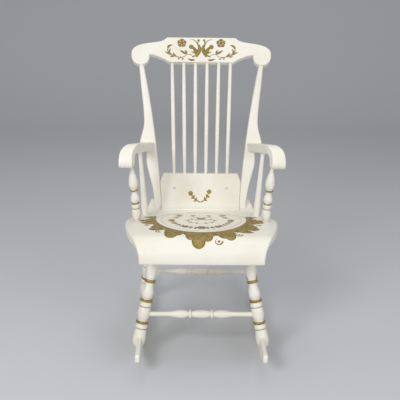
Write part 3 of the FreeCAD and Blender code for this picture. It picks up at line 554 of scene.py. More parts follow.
def arm_guides():
    """Upper and lower guide curves of the arm in side view, from the rear over the roll to the tip.

    Both are straight along the arm. Over the roll the upper one is an arc about the axis of the
    roll, and the lower one an arc that bows into the hollow. Round the tip they are the two
    halves of a half circle and meet at its bottom.
    """
    up = np.array([math.sin(ARM_SLOPE), math.cos(ARM_SLOPE)])
    back = np.array([math.cos(ARM_SLOPE), -math.sin(ARM_SLOPE)])
    top_front = ARM_ROLL + up * ARM_ROLL_RADIUS
    under_front = top_front - up * ARM_THICKNESS
    tip = ARM_ROLL + [ARM_TIP_RADIUS - ARM_ROLL_RADIUS, ARM_TIP_RISE]
    tip_out = tip - [ARM_TIP_RADIUS, 0]
    tip_in = tip + [ARM_TIP_RADIUS, 0]
    half_turn = (math.pi / 2 - ARM_SLOPE) / 2
    roll_middle = ARM_ROLL + np.array([-math.sin(half_turn), math.cos(half_turn)]) * ARM_ROLL_RADIUS
    hollow = (tip_in + under_front) / 2 + [-ARM_HOLLOW_BOW, ARM_HOLLOW_BOW]
    reach = np.linspace(ARM_GUIDE_LENGTH, 0, GUIDE_SAMPLES)[:, None]
    over = arc_path([top_front, roll_middle, tip_out], GUIDE_SAMPLES)[1:]
    inside = arc_path([under_front, hollow, tip_in], GUIDE_SAMPLES)[1:]
    turn = np.linspace(0, ARM_TIP_TURN, ARM_TIP_SAMPLES)[1:]
    drop = -ARM_TIP_RADIUS * np.sin(turn)
    spread = ARM_TIP_RADIUS * np.cos(turn)
    tip_upper = np.column_stack([tip[0] - spread, tip[1] + drop])
    tip_lower = np.column_stack([tip[0] + spread, tip[1] + drop])
    upper = np.concatenate([top_front + back * reach, over, tip_upper])
    lower = np.concatenate([under_front + back * reach, inside, tip_lower])
    return upper, lower


def post_y(points, z):
    """Place of a side curve of the back post at the height z."""
    curve = arc_path(points, ARC_SAMPLES)
    return np.interp(z, curve[:, 1], curve[:, 0])


def plan_edge(points, y):
    """Place of an edge of the arm's plan at y: three arcs in a row, which share their end points."""
    edge = np.concatenate([arc_path(points[i:i + 3], GUIDE_SAMPLES) for i in (0, 2, 4)])[::-1]
    return np.interp(y, edge[:, 1], edge[:, 0])


def arm_part(shape):
    """The arm: a section of even width is carried along the guide curves, then spread sideways.

    The spreading puts each point at the inner plan edge plus its share of the width there, both
    taken at the point's own place along Y.
    """
    upper, lower = arm_guides()
    behind_upper = upper[:, 0] > post_y(POST_FACE, upper[:, 1]) + shape.arm_housing
    start = np.argmin(behind_upper)
    upper, lower = upper[start:], lower[start:]
    face = np.array([post_y(POST_FACE, lower[0, 1]) + shape.arm_housing, lower[0, 1]])
    ease = np.clip(1 - np.arange(len(lower)) / ARM_EASED_STATIONS, 0, 1)[:, None]
    lower = lower + ease * (face - lower[0])
    travel = travel_along((upper + lower) / 2)
    places = paced(travel[-1], ARM_SPACING, 0.0, ARM_CROWDED, ARM_CROWDED_STEPS)
    top = resample(travel, upper, places)
    under = resample(travel, lower, places)
    inset = drawn_in(places, travel[-1], 0.0, ARM_TIP_INSET)
    grid, values = sawn_section(
        0.0, ARM_HALF_WIDTH - inset, (top + under) / 2, (top - under) / 2, shape.arm_rounding,
        crown=shape.arm_crown, corner_steps=8, side_steps=10)
    out_x = plan_edge(ARM_OUTER, grid[:, :, 1])
    in_x = plan_edge(ARM_INNER, grid[:, :, 1])
    grid[:, :, 0] = in_x + (grid[:, :, 0] / ARM_HALF_WIDTH + 1) / 2 * (out_x - in_x)
    return grid, values


def make_arms(scene):
    """Both arms."""
    paint = paint_material("arm_paint", scene.chair_finish, ARM_MARKS)
    replace_pair("arm", arm_part(scene.chair_shape), paint)


def post_part(shape):
    """The back post: its section is carried up, between the side curves and the front curves."""
    z = np.linspace(POST_FOOT_Z, POST_TOP_Z, POST_STATIONS)
    face = post_y(POST_FACE, z)
    back = post_y(POST_BACK, z)
    in_x = post_y(POST_INNER, z)
    outer = smooth_path(POST_OUTER, SPLINE_SAMPLES)
    out_x = np.interp(z, outer[:, 1], outer[:, 0])
    return sawn_section(
        (in_x + out_x) / 2, (out_x - in_x) / 2, np.column_stack([(face + back) / 2, z]),
        np.column_stack([(face - back) / 2, np.zeros(len(z))]), shape.post_rounding,
        crown=shape.post_crown, corner_steps=8, side_steps=4)


def make_posts(scene):
    """Both back posts, and the plugs on their faces."""
    paint = paint_material("post_paint", scene.chair_finish, UPRIGHT_MARKS)
    replace_pair("back_post", post_part(scene.chair_shape), paint)
    finish_nodes(["post_plugs"], paint)


def lean_y(z):
    """Middle of the back board and of the spindles at the height z."""
    slope = (LEAN_TOP[0] - BOARD_FOOT[0]) / (LEAN_TOP[1] - BOARD_FOOT[1])
    return BOARD_FOOT[0] + slope * (z - BOARD_FOOT[1])


def hollow(z, top):
    """How far the board's hollow has come forward at the height z. It starts at its top."""
    gap = np.clip(top - z, 0, BOARD_COVE)
    return BOARD_COVE - np.sqrt(BOARD_COVE ** 2 - gap ** 2)


def board_part(rounding):
    """The back board: its section is carried up from the seat to its top edge.

    The half width follows the posts up to the shoulder, then falls straight to the corner, and
    there along a quarter circle. The front face comes forward at the foot along a hollow one.
    """
    seat = seat_line(0.0)[:FLAT_SAMPLES]
    seat_z = np.interp(-BOARD_FOOT[0] + BOARD_COVE, -seat[:, 0], seat[:, 1])
    low = seat_z - BOARD_SUNK
    below = np.linspace(low, BOARD_SHOULDER_Z, BOARD_STATIONS)
    above = np.linspace(BOARD_SHOULDER_Z, BOARD_TOP_Z - BOARD_CORNER, SHOULDER_STATIONS)[1:]
    turn = np.linspace(0, math.pi / 2, CORNER_STATIONS)[1:]
    z = np.concatenate([below, above, BOARD_TOP_Z - BOARD_CORNER + BOARD_CORNER * np.sin(turn)])
    below_half = post_y(POST_INNER, below)
    side = np.concatenate([
        below_half,
        np.linspace(below_half[-1], BOARD_TOP_HALF, SHOULDER_STATIONS)[1:],
        BOARD_TOP_HALF - BOARD_CORNER + BOARD_CORNER * np.cos(turn),
    ])
    inset = drawn_in(z - low, BOARD_TOP_Z - low, 0.0, rounding)
    cove = hollow(z, seat_z + BOARD_COVE + BOARD_COVE_RISE)
    face = lean_y(z) - BOARD_HALF_DEPTH - cove + inset
    back = lean_y(z) + BOARD_HALF_DEPTH - inset
    return sawn_section(0.0, side, np.column_stack([(face + back) / 2, z]),
                        np.column_stack([(face - back) / 2, np.zeros(len(z))]), rounding, side_steps=30)


def make_board(scene):
    """The back board, and the pins in it, which are painted over."""
    paint = paint_material("board_paint", scene.chair_finish, BOARD_MARKS)
    replace_node("back_board", board_part(scene.chair_shape.board_rounding), paint)
    finish_nodes(["spindle_lock_pins"], paint)


def crest_drape(x, up, lift):
    """A point lifted off the crest's front face, at the place x and the distance up the face."""
    tilt_y, tilt_z = math.sin(CREST_LEAN), math.cos(CREST_LEAN)
    y = CREST_FOOT[0] + up * tilt_y - lift * tilt_z
    return np.stack([x, y, CREST_FOOT[1] + up * tilt_z + lift * tilt_y], axis=-1)


def board_drape(x, up, lift):
    """A point lifted off the front face of the back board, at the place x and the height up."""
    y = lean_y(up) - BOARD_HALF_DEPTH - hollow(up, BOARD_COVE_TOP) - lift * math.cos(BOARD_LEAN)
    return np.stack([x, y, up + lift * math.sin(BOARD_LEAN)], axis=-1)


def seat_drape(x, v, lift):
    """A point lifted off the seat's top, at the place x and at v along the surface.

    Behind the roll's axis the place follows the seat's upper line by its length. In front of it, it
    turns round the roll by v over the radius.
    """
    line = smooth_path(SEAT_LINE, FLAT_SAMPLES)
    travel = travel_along(line)
    tangent = np.gradient(line, travel, axis=0)
    y = np.interp(v, travel, line[:, 0])
    z = np.interp(v, travel, line[:, 1])
    ny = -np.interp(v, travel, tangent[:, 1])
    nz = np.interp(v, travel, tangent[:, 0])
    turn = np.clip(-v, 0, None) / ROLL_RADIUS
    on_roll = v < 0
    y = np.where(on_roll, ROLL_Y - ROLL_RADIUS * np.sin(turn), y)
    z = np.where(on_roll, SEAT_TOP_Z - ROLL_RADIUS + ROLL_RADIUS * np.cos(turn), z)
    ny = np.where(on_roll, -np.sin(turn), ny)
    nz = np.where(on_roll, np.cos(turn), nz)
    return np.stack([x, y + lift * ny, z + lift * nz], axis=-1)


def brush_stroke(points, width, drape, shape="leaf", tone=(0.0, 1.0), samples=26, across=7):
    """One stroke of gilding: a low closed ridge along a spine, draped on a surface.

    The spine is a spline through the points. At the share u along it and v across it, the place
    is the spine's point plus v times the half width at u times the spine's normal, and it is
    lifted by a low parabola in v. The half width is the width over two times a profile in u.
    """
    spine = smooth_path(points, samples)
    u = np.linspace(0, 1, samples)
    half = np.maximum(width / 2 * PROFILES[shape](u), LEAST_HALF)
    slope = np.gradient(spine, axis=0)
    slope /= np.linalg.norm(slope, axis=1)[:, None]
    normal = np.column_stack([-slope[:, 1], slope[:, 0]])
    v = np.linspace(-1, 1, across)
    upper = spine[:, None] + (half[:, None] * v)[:, :, None] * normal[:, None]
    place = np.concatenate([upper, upper[:, ::-1]], axis=1)
    rise = np.clip(half / FULL_RISE_HALF, LEAST_RISE, 1)[:, None]
    lift_upper = PAINT_EDGE + (PAINT_MIDDLE - PAINT_EDGE) * rise * (1 - v ** 2)
    lift = np.concatenate([lift_upper, np.full_like(lift_upper, PAINT_BURIED)], axis=1)
    near = np.broadcast_to(np.concatenate([np.abs(v), np.abs(v)]), lift.shape)
    tones = np.broadcast_to((tone[0] + (tone[1] - tone[0]) * u)[:, None], lift.shape)
    return drape(place[:, :, 0], place[:, :, 1], lift), {"edge": near, "tone": tones}


def disc(drape, x, y, radius, tone):
    """A round dab of gilding."""
    return brush_stroke([(x - radius, y), (x, y), (x + radius, y)], 2 * radius, drape, "disc", tone, 18)


def flower(drape, x, y, radius, petals, turn):
    """Petals round an eye, each a stroke from the middle outwards."""
    parts = []
    for i in range(petals):
        angle = turn + 2 * math.pi * i / petals
        way = np.array([math.cos(angle), math.sin(angle)])
        spine = [np.array([x, y]) + way * radius * share for share in PETAL_POINTS]
        parts.append(brush_stroke(spine, radius * PETAL_WIDTH / petals, drape, "petal", (0.8, 0.30)))
    parts.append(disc(drape, x, y, radius * EYE, (1.0, 1.0)))
    return parts


def both_sides(strokes, drape):
    """Strokes drawn for the -X half, and the same ones mirrored to the +X half."""
    parts = []
    for points, width, shape, tone in strokes:
        for sign in (1, -1):
            parts.append(brush_stroke([(sign * x, y) for x, y in points], width, drape, shape, tone))
    return parts


def leaf_pairs(path, count, length, width, tone, first=0.1, last=0.95):
    """Strokes of pairs of small leaves along a stem, which lean forward from it to either side."""
    spine = smooth_path(path, STEM_SAMPLES)
    slope = np.gradient(spine, axis=0)
    slope /= np.linalg.norm(slope, axis=1)[:, None]
    strokes = []
    for share in np.linspace(first, last, count):
        at = int(share * (STEM_SAMPLES - 1))
        ahead = slope[at]
        for side in (-1, 1):
            aside = side * np.array([-ahead[1], ahead[0]])
            points = [spine[at] + length * (a * ahead + b * aside) for a, b in (LEAF_MIDDLE, LEAF_TIP)]
            strokes.append(([tuple(q) for q in (spine[at], *points)], width, "leaf", tone))
    return strokes


def make_gilding(name, parts, material):
    """A piece of the painted ornament."""
    piece = make_piece(name, parts, material)


def make_crest(scene):
    """The crest rail's paint and its stencilled flowers and leaves."""
    finish_nodes(["crest_rail"], paint_material("crest_paint", scene.chair_finish, BOARD_MARKS))
    parts = both_sides(CREST_STROKES, crest_drape)
    for sign in (1, -1):
        x, *rest = CREST_FLOWER
        parts += flower(crest_drape, sign * x, *rest)
        parts += [disc(crest_drape, sign * x, *rest) for x, *rest in CREST_DABS]
    make_gilding("crest_stencil", parts, gilt_material("crest_gilding", scene.chair_finish))


def field_point(angle, radius):
    """Point (x, v) of the seat at an angle from straight forward, in degrees, and a radius."""
    turn = math.radians(angle)
    return np.array([math.sin(turn) * radius, FIELD_V - math.cos(turn) * radius])


def surround_parts():
    """The gilt leaves round the field and the band they grow from.

    Each leaf is a long lobe with two pairs of shorter ones that bend away from it, and a curl is
    a stroke along three quarters of a circle round a dab.
    """
    parts = []
    for angle, reach, width, lean in SURROUND:
        long = reach - FIELD_RADIUS
        spine = [
            field_point(angle, FIELD_RADIUS - LEAF_SUNK),
            field_point(angle + lean * 0.3, FIELD_RADIUS + long * 0.5),
            field_point(angle + lean, reach),
        ]
        parts.append(brush_stroke(spine, width, seat_drape, "lobe", (0.0, 0.55)))
        for side in (-1, 1):
            for share, spread, size in SIDE_LOBES:
                middle = angle + side * spread * 0.55 + lean * 0.3
                tip = angle + side * spread + lean * 0.6
                lobe = [
                    field_point(angle, FIELD_RADIUS),
                    field_point(middle, FIELD_RADIUS + long * share * 0.6),
                    field_point(tip, FIELD_RADIUS + long * share),
                ]
                parts.append(brush_stroke(lobe, width * size, seat_drape, "lobe", (0.0, 0.5)))
    for angle, reach, radius in CURLS:
        middle = field_point(angle, reach)
        side = math.copysign(1, angle)
        turn = CURL_TURN + CURL_TILT * side
        curl = [middle + radius * np.array([math.cos(a) * side, -math.sin(a)]) for a in turn]
        parts.append(brush_stroke(curl, CURL_WIDTH, seat_drape, "tail", (0.1, 0.8)))
        parts.append(disc(seat_drape, *middle, radius * CURL_EYE, (0.9, 0.9)))
    band = [field_point(a, FIELD_RADIUS + BAND_OFFSET) for a in np.linspace(-BAND_END, BAND_END, 41)]
    parts.append(brush_stroke(band, BAND_WIDTH, seat_drape, "stem", (0.0, 0.0), 160))
    return parts


def ring_part(radius, width, tone):
    """A thin painted circle round the middle of the field."""
    points = [field_point(a, radius) for a in np.linspace(0, 359, 60)]
    return brush_stroke(points, width, seat_drape, "stem", (tone, tone), 300, 5)


def field_strokes():
    """Strokes of one half of the spray inside the field: points (x, v), width, profile, tone."""
    strokes = [(path, FIELD_STEM_WIDTH, "stem", FIELD_TONE) for path, *_ in FIELD_STEMS]
    for path, count, length, width in FIELD_STEMS:
        strokes += leaf_pairs(path, count, length, width, FIELD_TONE)
    return strokes


def make_seat_ornament(scene):
    """The leaf surround on the seat, its rings and the spray inside them."""
    gilt = gilt_material("seat_gilding", scene.chair_finish)
    make_gilding("seat_leaf_surround", surround_parts(), gilt)
    line = gilt_material("seat_line_gilding", scene.chair_finish)
    make_gilding("seat_field_lines", [ring_part(*ring) for ring in FIELD_RINGS], line)
    parts = both_sides(field_strokes(), seat_drape)
    for sign in (1, -1):
        for x, *rest in SIDE_FLOWERS:
            parts += flower(seat_drape, sign * x, *rest)
    for middle_flower in MIDDLE_FLOWERS:
        parts += flower(seat_drape, *middle_flower)
    make_gilding("seat_field_spray", parts, gilt)


def make_board_spray(scene):
    """A small spray at the foot of the back board: two stems that part, with leaves and buds."""
    strokes = [(stem, BOARD_STEM_WIDTH, "stem", LEAF_TONE) for stem in BOARD_STEMS]
    for stem in BOARD_STEMS:
        strokes += leaf_pairs(stem, *BOARD_LEAVES, (0.1, 0.7), 0.35)
    parts = []
    for points, width, shape, tone in strokes:
        parts.append(brush_stroke(points, width, board_drape, shape, tone))
    for bud in BOARD_FLOWERS:
        parts += flower(board_drape, *bud)
    make_gilding("board_spray", parts, gilt_material("board_gilding", scene.chair_finish))


def make_turnings(scene):
    """Paint and gilt bands for the turned pieces, and plain paint for the rest."""
    finish = scene.chair_finish
    for stem, (foot, top, bands) in TURNINGS.items():
        for side, sign in SIDES:
            name = "%s_%s" % (stem, side)
            axis = [Vector((sign * x, y, z)) for x, y, z in (foot, top)]
            finish_nodes([name], paint_material(name + "_paint", finish, UPRIGHT_MARKS, axis, bands))
    for name, (marks, plain_nodes) in PLAIN_PAINT.items():
        finish_nodes(plain_nodes, paint_material(name, finish, marks))
    bare = bare_wood_material("bare_dowel_wood", finish)
    finish_nodes(["arm_dowels", "rocker_pins", "seat_dowels"], bare)


def feed(tree, socket, value):
    """Links a socket to another one, or sets it to a number, vector or colour."""
    if isinstance(value, bpy.types.NodeSocket):
        tree.links.new(value, socket)
    else:
        socket.default_value = value


def feed_all(tree, node, **values):
    """Feeds sockets of a node by name."""
    for label, value in values.items():
        feed(tree, node.inputs[label], value)


def add(tree, kind, **settings):
    """A new shader node with its attributes set, and with sockets fed as in_NAME or in_NUMBER."""
    node = tree.nodes.new("ShaderNode" + kind)
    for key, value in settings.items():
        if key.startswith("in_"):
            slot = key[3:]
            feed(tree, node.inputs[int(slot) if slot.isdigit() else slot], value)
        else:
            setattr(node, key, value)
    return node


def noise(tree, vector, scale, detail, roughness=0.5):
    """The value of a noise texture."""
    return add(tree, "TexNoise", in_Vector=vector, in_Scale=scale, in_Detail=detail,
               in_Roughness=roughness).outputs["Fac"]


def math_node(tree, operation, *values):
    """The output of a Math node. Each value is a socket or a number."""
    fed = {"in_%d" % place: value for place, value in enumerate(values)}
    return add(tree, "Math", operation=operation, **fed).outputs[0]


def times(tree, first, second):
    """The product of two sockets or numbers."""
    return math_node(tree, "MULTIPLY", first, second)


def mix_colour(tree, mask, first, second):
    """The output of a Mix node for colours. Each colour is a socket or four numbers."""
    return add(tree, "Mix", data_type="RGBA", in_Factor=mask, in_6=first, in_7=second).outputs[2]


def mix_value(tree, mask, first, second):
    """The output of a Mix node for numbers. Each is a socket or a number."""
    return add(tree, "Mix", data_type="FLOAT", in_Factor=mask, in_2=first, in_3=second).outputs[0]


def ramp(tree, value, low, high):
    """Eases a value from 0 at low to 1 at high."""
    node = add(tree, "MapRange", interpolation_type="SMOOTHSTEP", in_0=value, in_1=low, in_2=high)
    return node.outputs[0]


def new_group(name, inputs, outputs):
    """A shader node group and its two end nodes, which are None if the group was made before."""
    group = bpy.data.node_groups.get(name)
    if group:
        return group, None, None
    group = bpy.data.node_groups.new(name, "ShaderNodeTree")
    for way, sockets in (("INPUT", inputs), ("OUTPUT", outputs)):
        for label, kind in sockets.items():
            group.interface.new_socket(label, in_out=way, socket_type="NodeSocket" + kind)
    return group, group.nodes.new("NodeGroupInput"), group.nodes.new("NodeGroupOutput")


def place_group(tree, group, **values):
    """Puts a group into a node tree and feeds its sockets by name. Returns its outputs."""
    node = tree.nodes.new("ShaderNodeGroup")
    node.node_tree = group
    feed_all(tree, node, **values)
    return node.outputs


def brushed_paint_group():
    """Old hand-brushed paint: cloudy yellowing, brush marks drawn out along the piece, and specks."""
    group, start, end = new_group(
        "Brushed paint",
        {"Vector": "Vector", "Stretch": "Vector", "Paint": "Color", "Yellowed": "Color", "Dirt": "Color",
         "Ageing": "Float", "Edge": "Float"},
        {"Color": "Color", "Roughness": "Float", "Height": "Float"})
    if start is None:
        return group
    given = start.outputs
    cloud = noise(group, given["Vector"], 7.0, 4.0, 0.6)
    drawn = add(group, "VectorMath", operation="MULTIPLY", in_0=given["Vector"], in_1=given["Stretch"])
    strokes = noise(group, drawn.outputs[0], 22.0, 3.0, 0.65)
    specks = ramp(group, noise(group, given["Vector"], 420.0, 1.0), 0.73, 0.79)
    yellow = times(group, ramp(group, cloud, 0.42, 0.72), given["Ageing"])
    streak = times(group, ramp(group, strokes, 0.5, 0.8), 0.25)
    rubbed = times(group, times(group, given["Edge"], ramp(group, cloud, 0.5, 0.68)), 0.30)
    colour = mix_colour(group, yellow, given["Paint"], given["Yellowed"])
    colour = mix_colour(group, streak, colour, given["Yellowed"])
    colour = mix_colour(group, rubbed, colour, given["Yellowed"])
    colour = mix_colour(group, times(group, specks, 0.35), colour, given["Dirt"])
    feed_all(group, end, Color=colour, Roughness=mix_value(group, strokes, 0.34, 0.52),
             Height=times(group, strokes, 0.00012))
    return group


def axis_height_group():
    """Height of a point along the axis of a turned piece, from its foot."""
    group, start, end = new_group(
        "Height along axis", {"Vector": "Vector", "Foot": "Vector", "Axis": "Vector"}, {"Height": "Float"})
    if start is None:
        return group
    given = start.outputs
    away = add(group, "VectorMath", operation="SUBTRACT", in_0=given["Vector"], in_1=given["Foot"])
    along = add(group, "VectorMath", operation="DOT_PRODUCT", in_0=away.outputs[0], in_1=given["Axis"])
    feed_all(group, end, Height=along.outputs["Value"])
    return group


def band_group():
    """A gilt band between two heights: a mask, and how near the band's edges a point is."""
    group, start, end = new_group(
        "Gilt band", {"Height": "Float", "Middle": "Float", "Half": "Float", "Wander": "Float"},
        {"Mask": "Float", "Edge": "Float"})
    if start is None:
        return group
    given = start.outputs
    off = math_node(group, "SUBTRACT", given["Height"], given["Middle"])
    off = math_node(group, "ABSOLUTE", math_node(group, "ADD", off, given["Wander"]))
    share = math_node(group, "DIVIDE", off, given["Half"])
    feed_all(group, end, Mask=math_node(group, "SUBTRACT", 1.0, ramp(group, share, 0.92, 1.06)),
             Edge=ramp(group, share, 0.35, 0.95))
    return group


def gilding_group():
    """Bronze-powder gilding: olive gold that darkens at its edges and turns brown towards its tips."""
    group, start, end = new_group(
        "Gilding",
        {"Vector": "Vector", "Gold": "Color", "Shadow": "Color", "Tip": "Color", "Edge": "Float",
         "Tone": "Float"},
        {"Color": "Color", "Roughness": "Float", "Height": "Float"})
    if start is None:
        return group
    given = start.outputs
    patch = ramp(group, noise(group, given["Vector"], 95.0, 4.0, 0.6), 0.38, 0.66)
    grain = noise(group, given["Vector"], 900.0, 2.0)
    tips = times(group, ramp(group, given["Tone"], 0.35, 1.0), 0.75)
    rim = times(group, ramp(group, given["Edge"], 0.55, 1.0), 0.8)
    colour = mix_colour(group, times(group, patch, 0.55), given["Gold"], given["Shadow"])
    colour = mix_colour(group, tips, colour, given["Tip"])
    colour = mix_colour(group, rim, colour, given["Shadow"])
    feed_all(group, end, Color=colour, Roughness=mix_value(group, patch, 0.36, 0.58),
             Height=times(group, grain, 0.00005))
    return group


def opaque(colour):
    """A colour setting as four numbers."""
    return (*colour, 1.0)


def new_material(name):
    """A material, its node tree, its Principled shader and its Object coordinates."""
    material = bpy.data.materials.new(name)
    material.use_nodes = True
    tree = material.node_tree
    return material, tree, tree.nodes["Principled BSDF"], add(tree, "TexCoord").outputs["Object"]


def stored(tree, name):
    """A value that the mesh stores under this name."""
    return add(tree, "Attribute", attribute_name=name).outputs["Fac"]


def finish_surface(tree, shader, colour, roughness, height, strength):
    """Feeds the shader. The height, in metres, bends its normal."""
    feed(tree, shader.inputs["Base Color"], colour)
    bump = add(tree, "Bump", in_Distance=1.0, in_Strength=strength, in_Height=height)
    feed_all(tree, shader, Roughness=roughness, Normal=bump.outputs["Normal"])


def place_gilding(tree, coordinates, finish, edge, tone):
    """The outputs of the gilding group in the colours of the finish."""
    return place_group(tree, gilding_group(), Vector=coordinates, Gold=opaque(finish.gold),
                       Shadow=opaque(finish.gold_shadow), Tip=opaque(finish.gold_tip), Edge=edge, Tone=tone)


def paint_material(name, finish, marks, axis=None, bands=()):
    """Cream paint. With an axis, gilt bands go round the piece at the given heights."""
    material, tree, shader, coordinates = new_material(name)
    paint = place_group(
        tree, brushed_paint_group(), Vector=coordinates, Stretch=marks, Paint=opaque(finish.cream),
        Yellowed=opaque(finish.yellowed), Dirt=opaque(finish.dirt), Ageing=finish.ageing,
        Edge=stored(tree, "edge"))
    colour, roughness = paint["Color"], paint["Roughness"]
    if axis:
        foot, top = axis
        along = place_group(tree, axis_height_group(), Vector=coordinates, Foot=foot,
                            Axis=(top - foot).normalized())["Height"]
        waver = noise(tree, coordinates, 60.0, 1.0)
        wander = times(tree, math_node(tree, "SUBTRACT", waver, 0.5), 0.0012)
        mask, rim = 0.0, 1.0
        for low, high in bands:
            band = place_group(tree, band_group(), Height=along, Middle=(low + high) / 2,
                               Half=(high - low) / 2, Wander=wander)
            mask = math_node(tree, "MAXIMUM", mask, band["Mask"])
            rim = math_node(tree, "MINIMUM", rim, band["Edge"])
        gilt = place_gilding(tree, coordinates, finish, rim, 0.0)
        colour = mix_colour(tree, mask, colour, gilt["Color"])
        roughness = mix_value(tree, mask, roughness, gilt["Roughness"])
        feed_all(tree, shader, Metallic=times(tree, mask, finish.gold_metal))
    finish_surface(tree, shader, colour, roughness, paint["Height"], 0.6)
    return material


def gilt_material(name, finish):
    """Gilding for the painted ornament, which stores its own edge and tone values."""
    material, tree, shader, coordinates = new_material(name)
    gilt = place_gilding(tree, coordinates, finish, stored(tree, "edge"), stored(tree, "tone"))
    shader.inputs["Metallic"].default_value = finish.gold_metal
    finish_surface(tree, shader, gilt["Color"], gilt["Roughness"], gilt["Height"], 0.6)
    return material


def bare_wood_material(name, finish):
    """Dry birch in light and dark patches."""
    material, tree, shader, coordinates = new_material(name)
    grain = noise(tree, coordinates, 140.0, 5.0)
    dark = opaque([c * 0.7 for c in finish.birch])
    colour = mix_colour(tree, grain, opaque(finish.birch), dark)
    finish_surface(tree, shader, colour, mix_value(tree, grain, 0.6, 0.8), times(tree, grain, 0.0001), 0.5)
    return material


def make_camera():
    """A camera turned to the right by the yaw, down by the pitch and round its axis by the roll."""
    yaw, pitch, roll = CAMERA_YAW, CAMERA_PITCH, CAMERA_ROLL
    ahead = Vector((math.sin(yaw) * math.cos(pitch), math.cos(yaw) * math.cos(pitch), -math.sin(pitch)))
    level = Vector((math.cos(yaw), -math.sin(yaw), 0))
    upright = level.cross(ahead)
    right = math.cos(roll) * level + math.sin(roll) * upright
    up = math.cos(roll) * upright - math.sin(roll) * level
    data = bpy.data.cameras.new("view_of_photograph")
    data.sensor_width = SENSOR_MM
    data.lens = CAMERA_FOCAL_PX / PICTURE_PX * SENSOR_MM
    camera = bpy.data.objects.new("view_of_photograph", data)
    turn = Matrix((right, up, -ahead)).transposed().to_4x4()
    camera.matrix_world = Matrix.Translation(CAMERA_AT) @ turn
    bpy.context.scene.collection.objects.link(camera)
    bpy.context.scene.camera = camera


def make_sweep(floor):
    """The floor and backdrop: a flat floor that turns up along a quarter circle into a wall."""
    turn = np.linspace(0, math.pi / 2, 24)
    wall_y = SWEEP_BEND_Y + SWEEP_RADIUS
    y = np.concatenate([[SWEEP_FRONT_Y], SWEEP_BEND_Y + SWEEP_RADIUS * np.sin(turn), [wall_y]])
    z = np.concatenate([[0.0], SWEEP_RADIUS * (1 - np.cos(turn)), [SWEEP_HEIGHT]])
    x = np.array([-SWEEP_HALF_WIDTH, SWEEP_HALF_WIDTH])
    points = np.stack(np.broadcast_arrays(x[None, :], y[:, None], z[:, None]), axis=-1).reshape(-1, 3)
    index = np.arange(len(points)).reshape(-1, 2)
    faces = np.stack([index[:-1, 0], index[:-1, 1], index[1:, 1], index[1:, 0]], axis=-1)
    mesh = bpy.data.meshes.new("studio_sweep")
    mesh.from_pydata(points.tolist(), [], faces.tolist())
    mesh.shade_smooth()
    material, tree, shader, coordinates = new_material("studio_paper")
    cloud = noise(tree, coordinates, 0.8, 3.0)
    feed(tree, shader.inputs["Base Color"],
         mix_colour(tree, cloud, opaque(floor), opaque([c * 0.94 for c in floor])))
    shader.inputs["Roughness"].default_value = 0.9
    mesh.materials.append(material)
    sweep = bpy.data.objects.new("studio_sweep", mesh)
    bpy.context.scene.collection.objects.link(sweep)


def make_light(name, at, size, power):
    """A square soft box that faces the chair."""
    data = bpy.data.lights.new(name, "AREA")
    data.size = size
    data.energy = power
    lamp = bpy.data.objects.new(name, data)
    lamp.location = at
    lamp.rotation_euler = (Vector(LAMP_TARGET) - Vector(at)).to_track_quat("-Z", "Y").to_euler()
    bpy.context.scene.collection.objects.link(lamp)


def make_stage(scene):
    """The camera, the sweep, the lamps and the even light from all round."""
    settings = scene.chair_stage
    make_camera()
    make_sweep(settings.floor)
    for name, (at, size, share) in FRONT_LAMPS.items():
        make_light(name, at, size, settings.front_power * share)
    make_light("soft_box_above", TOP_LAMP_AT, TOP_LAMP_SIZE, settings.top_power)
    world = bpy.data.worlds.new("studio_world")
    world.use_nodes = True
    background = world.node_tree.nodes["Background"]
    background.inputs["Color"].default_value = (1.0, 1.0, 1.0, 1.0)
    background.inputs["Strength"].default_value = settings.world_strength
    scene.world = world
    scene.view_settings.view_transform = "Standard"


class ChairShapeSettings(PropertyGroup):
    """Sizes of the sawn pieces."""

    seat_rounding: FloatProperty(
        name="Seat edge", description="Radius of the seat's edges", default=0.006, unit="LENGTH")
    arm_rounding: FloatProperty(
        name="Arm edge", description="Radius of the arms' edges", default=0.004, unit="LENGTH")
    arm_crown: FloatProperty(
        name="Arm crown", description="How far the arms' broad faces swell", default=0.0006, unit="LENGTH")
    arm_housing: FloatProperty(
        name="Arm housing", description="How far the arms run into the back posts", default=0.002,
        unit="LENGTH")
    post_rounding: FloatProperty(
        name="Post edge", description="Radius of the back posts' edges", default=0.006, unit="LENGTH")
    post_crown: FloatProperty(
        name="Post crown", description="How far the posts' faces swell", default=0.0005, unit="LENGTH")
    board_rounding: FloatProperty(
        name="Board edge", description="Radius of the back board's edges", default=0.005, unit="LENGTH")


class ChairFinishSettings(PropertyGroup):
    """Colours and finish of the paint and the gilding."""

    cream: FloatVectorProperty(
        name="Cream", description="Colour of the paint", default=(0.865, 0.840, 0.750), subtype="COLOR")
    yellowed: FloatVectorProperty(
        name="Yellowed", description="Colour of the paint where it has aged", default=(0.740, 0.670, 0.520),
        subtype="COLOR")
    dirt: FloatVectorProperty(
        name="Dirt", description="Colour of specks in the paint", default=(0.30, 0.24, 0.16),
        subtype="COLOR")
    ageing: FloatProperty(
        name="Ageing", description="How much of the paint has yellowed", default=0.35, subtype="FACTOR")
    gold: FloatVectorProperty(
        name="Gold", description="Colour of the gilding", default=(0.360, 0.270, 0.070),
        subtype="COLOR")
    gold_shadow: FloatVectorProperty(
        name="Gold shadow", description="Colour of the gilding's edges", default=(0.130, 0.085, 0.022),
        subtype="COLOR")
    gold_tip: FloatVectorProperty(
        name="Gold tips", description="Colour of the tips of leaves", default=(0.300, 0.130, 0.035),
        subtype="COLOR")
    gold_metal: FloatProperty(
        name="Metal", description="How metallic the gilding is", default=0.3, subtype="FACTOR")
    birch: FloatVectorProperty(
        name="Birch", description="Colour of the bare pegs", default=(0.480, 0.300, 0.140), subtype="COLOR")


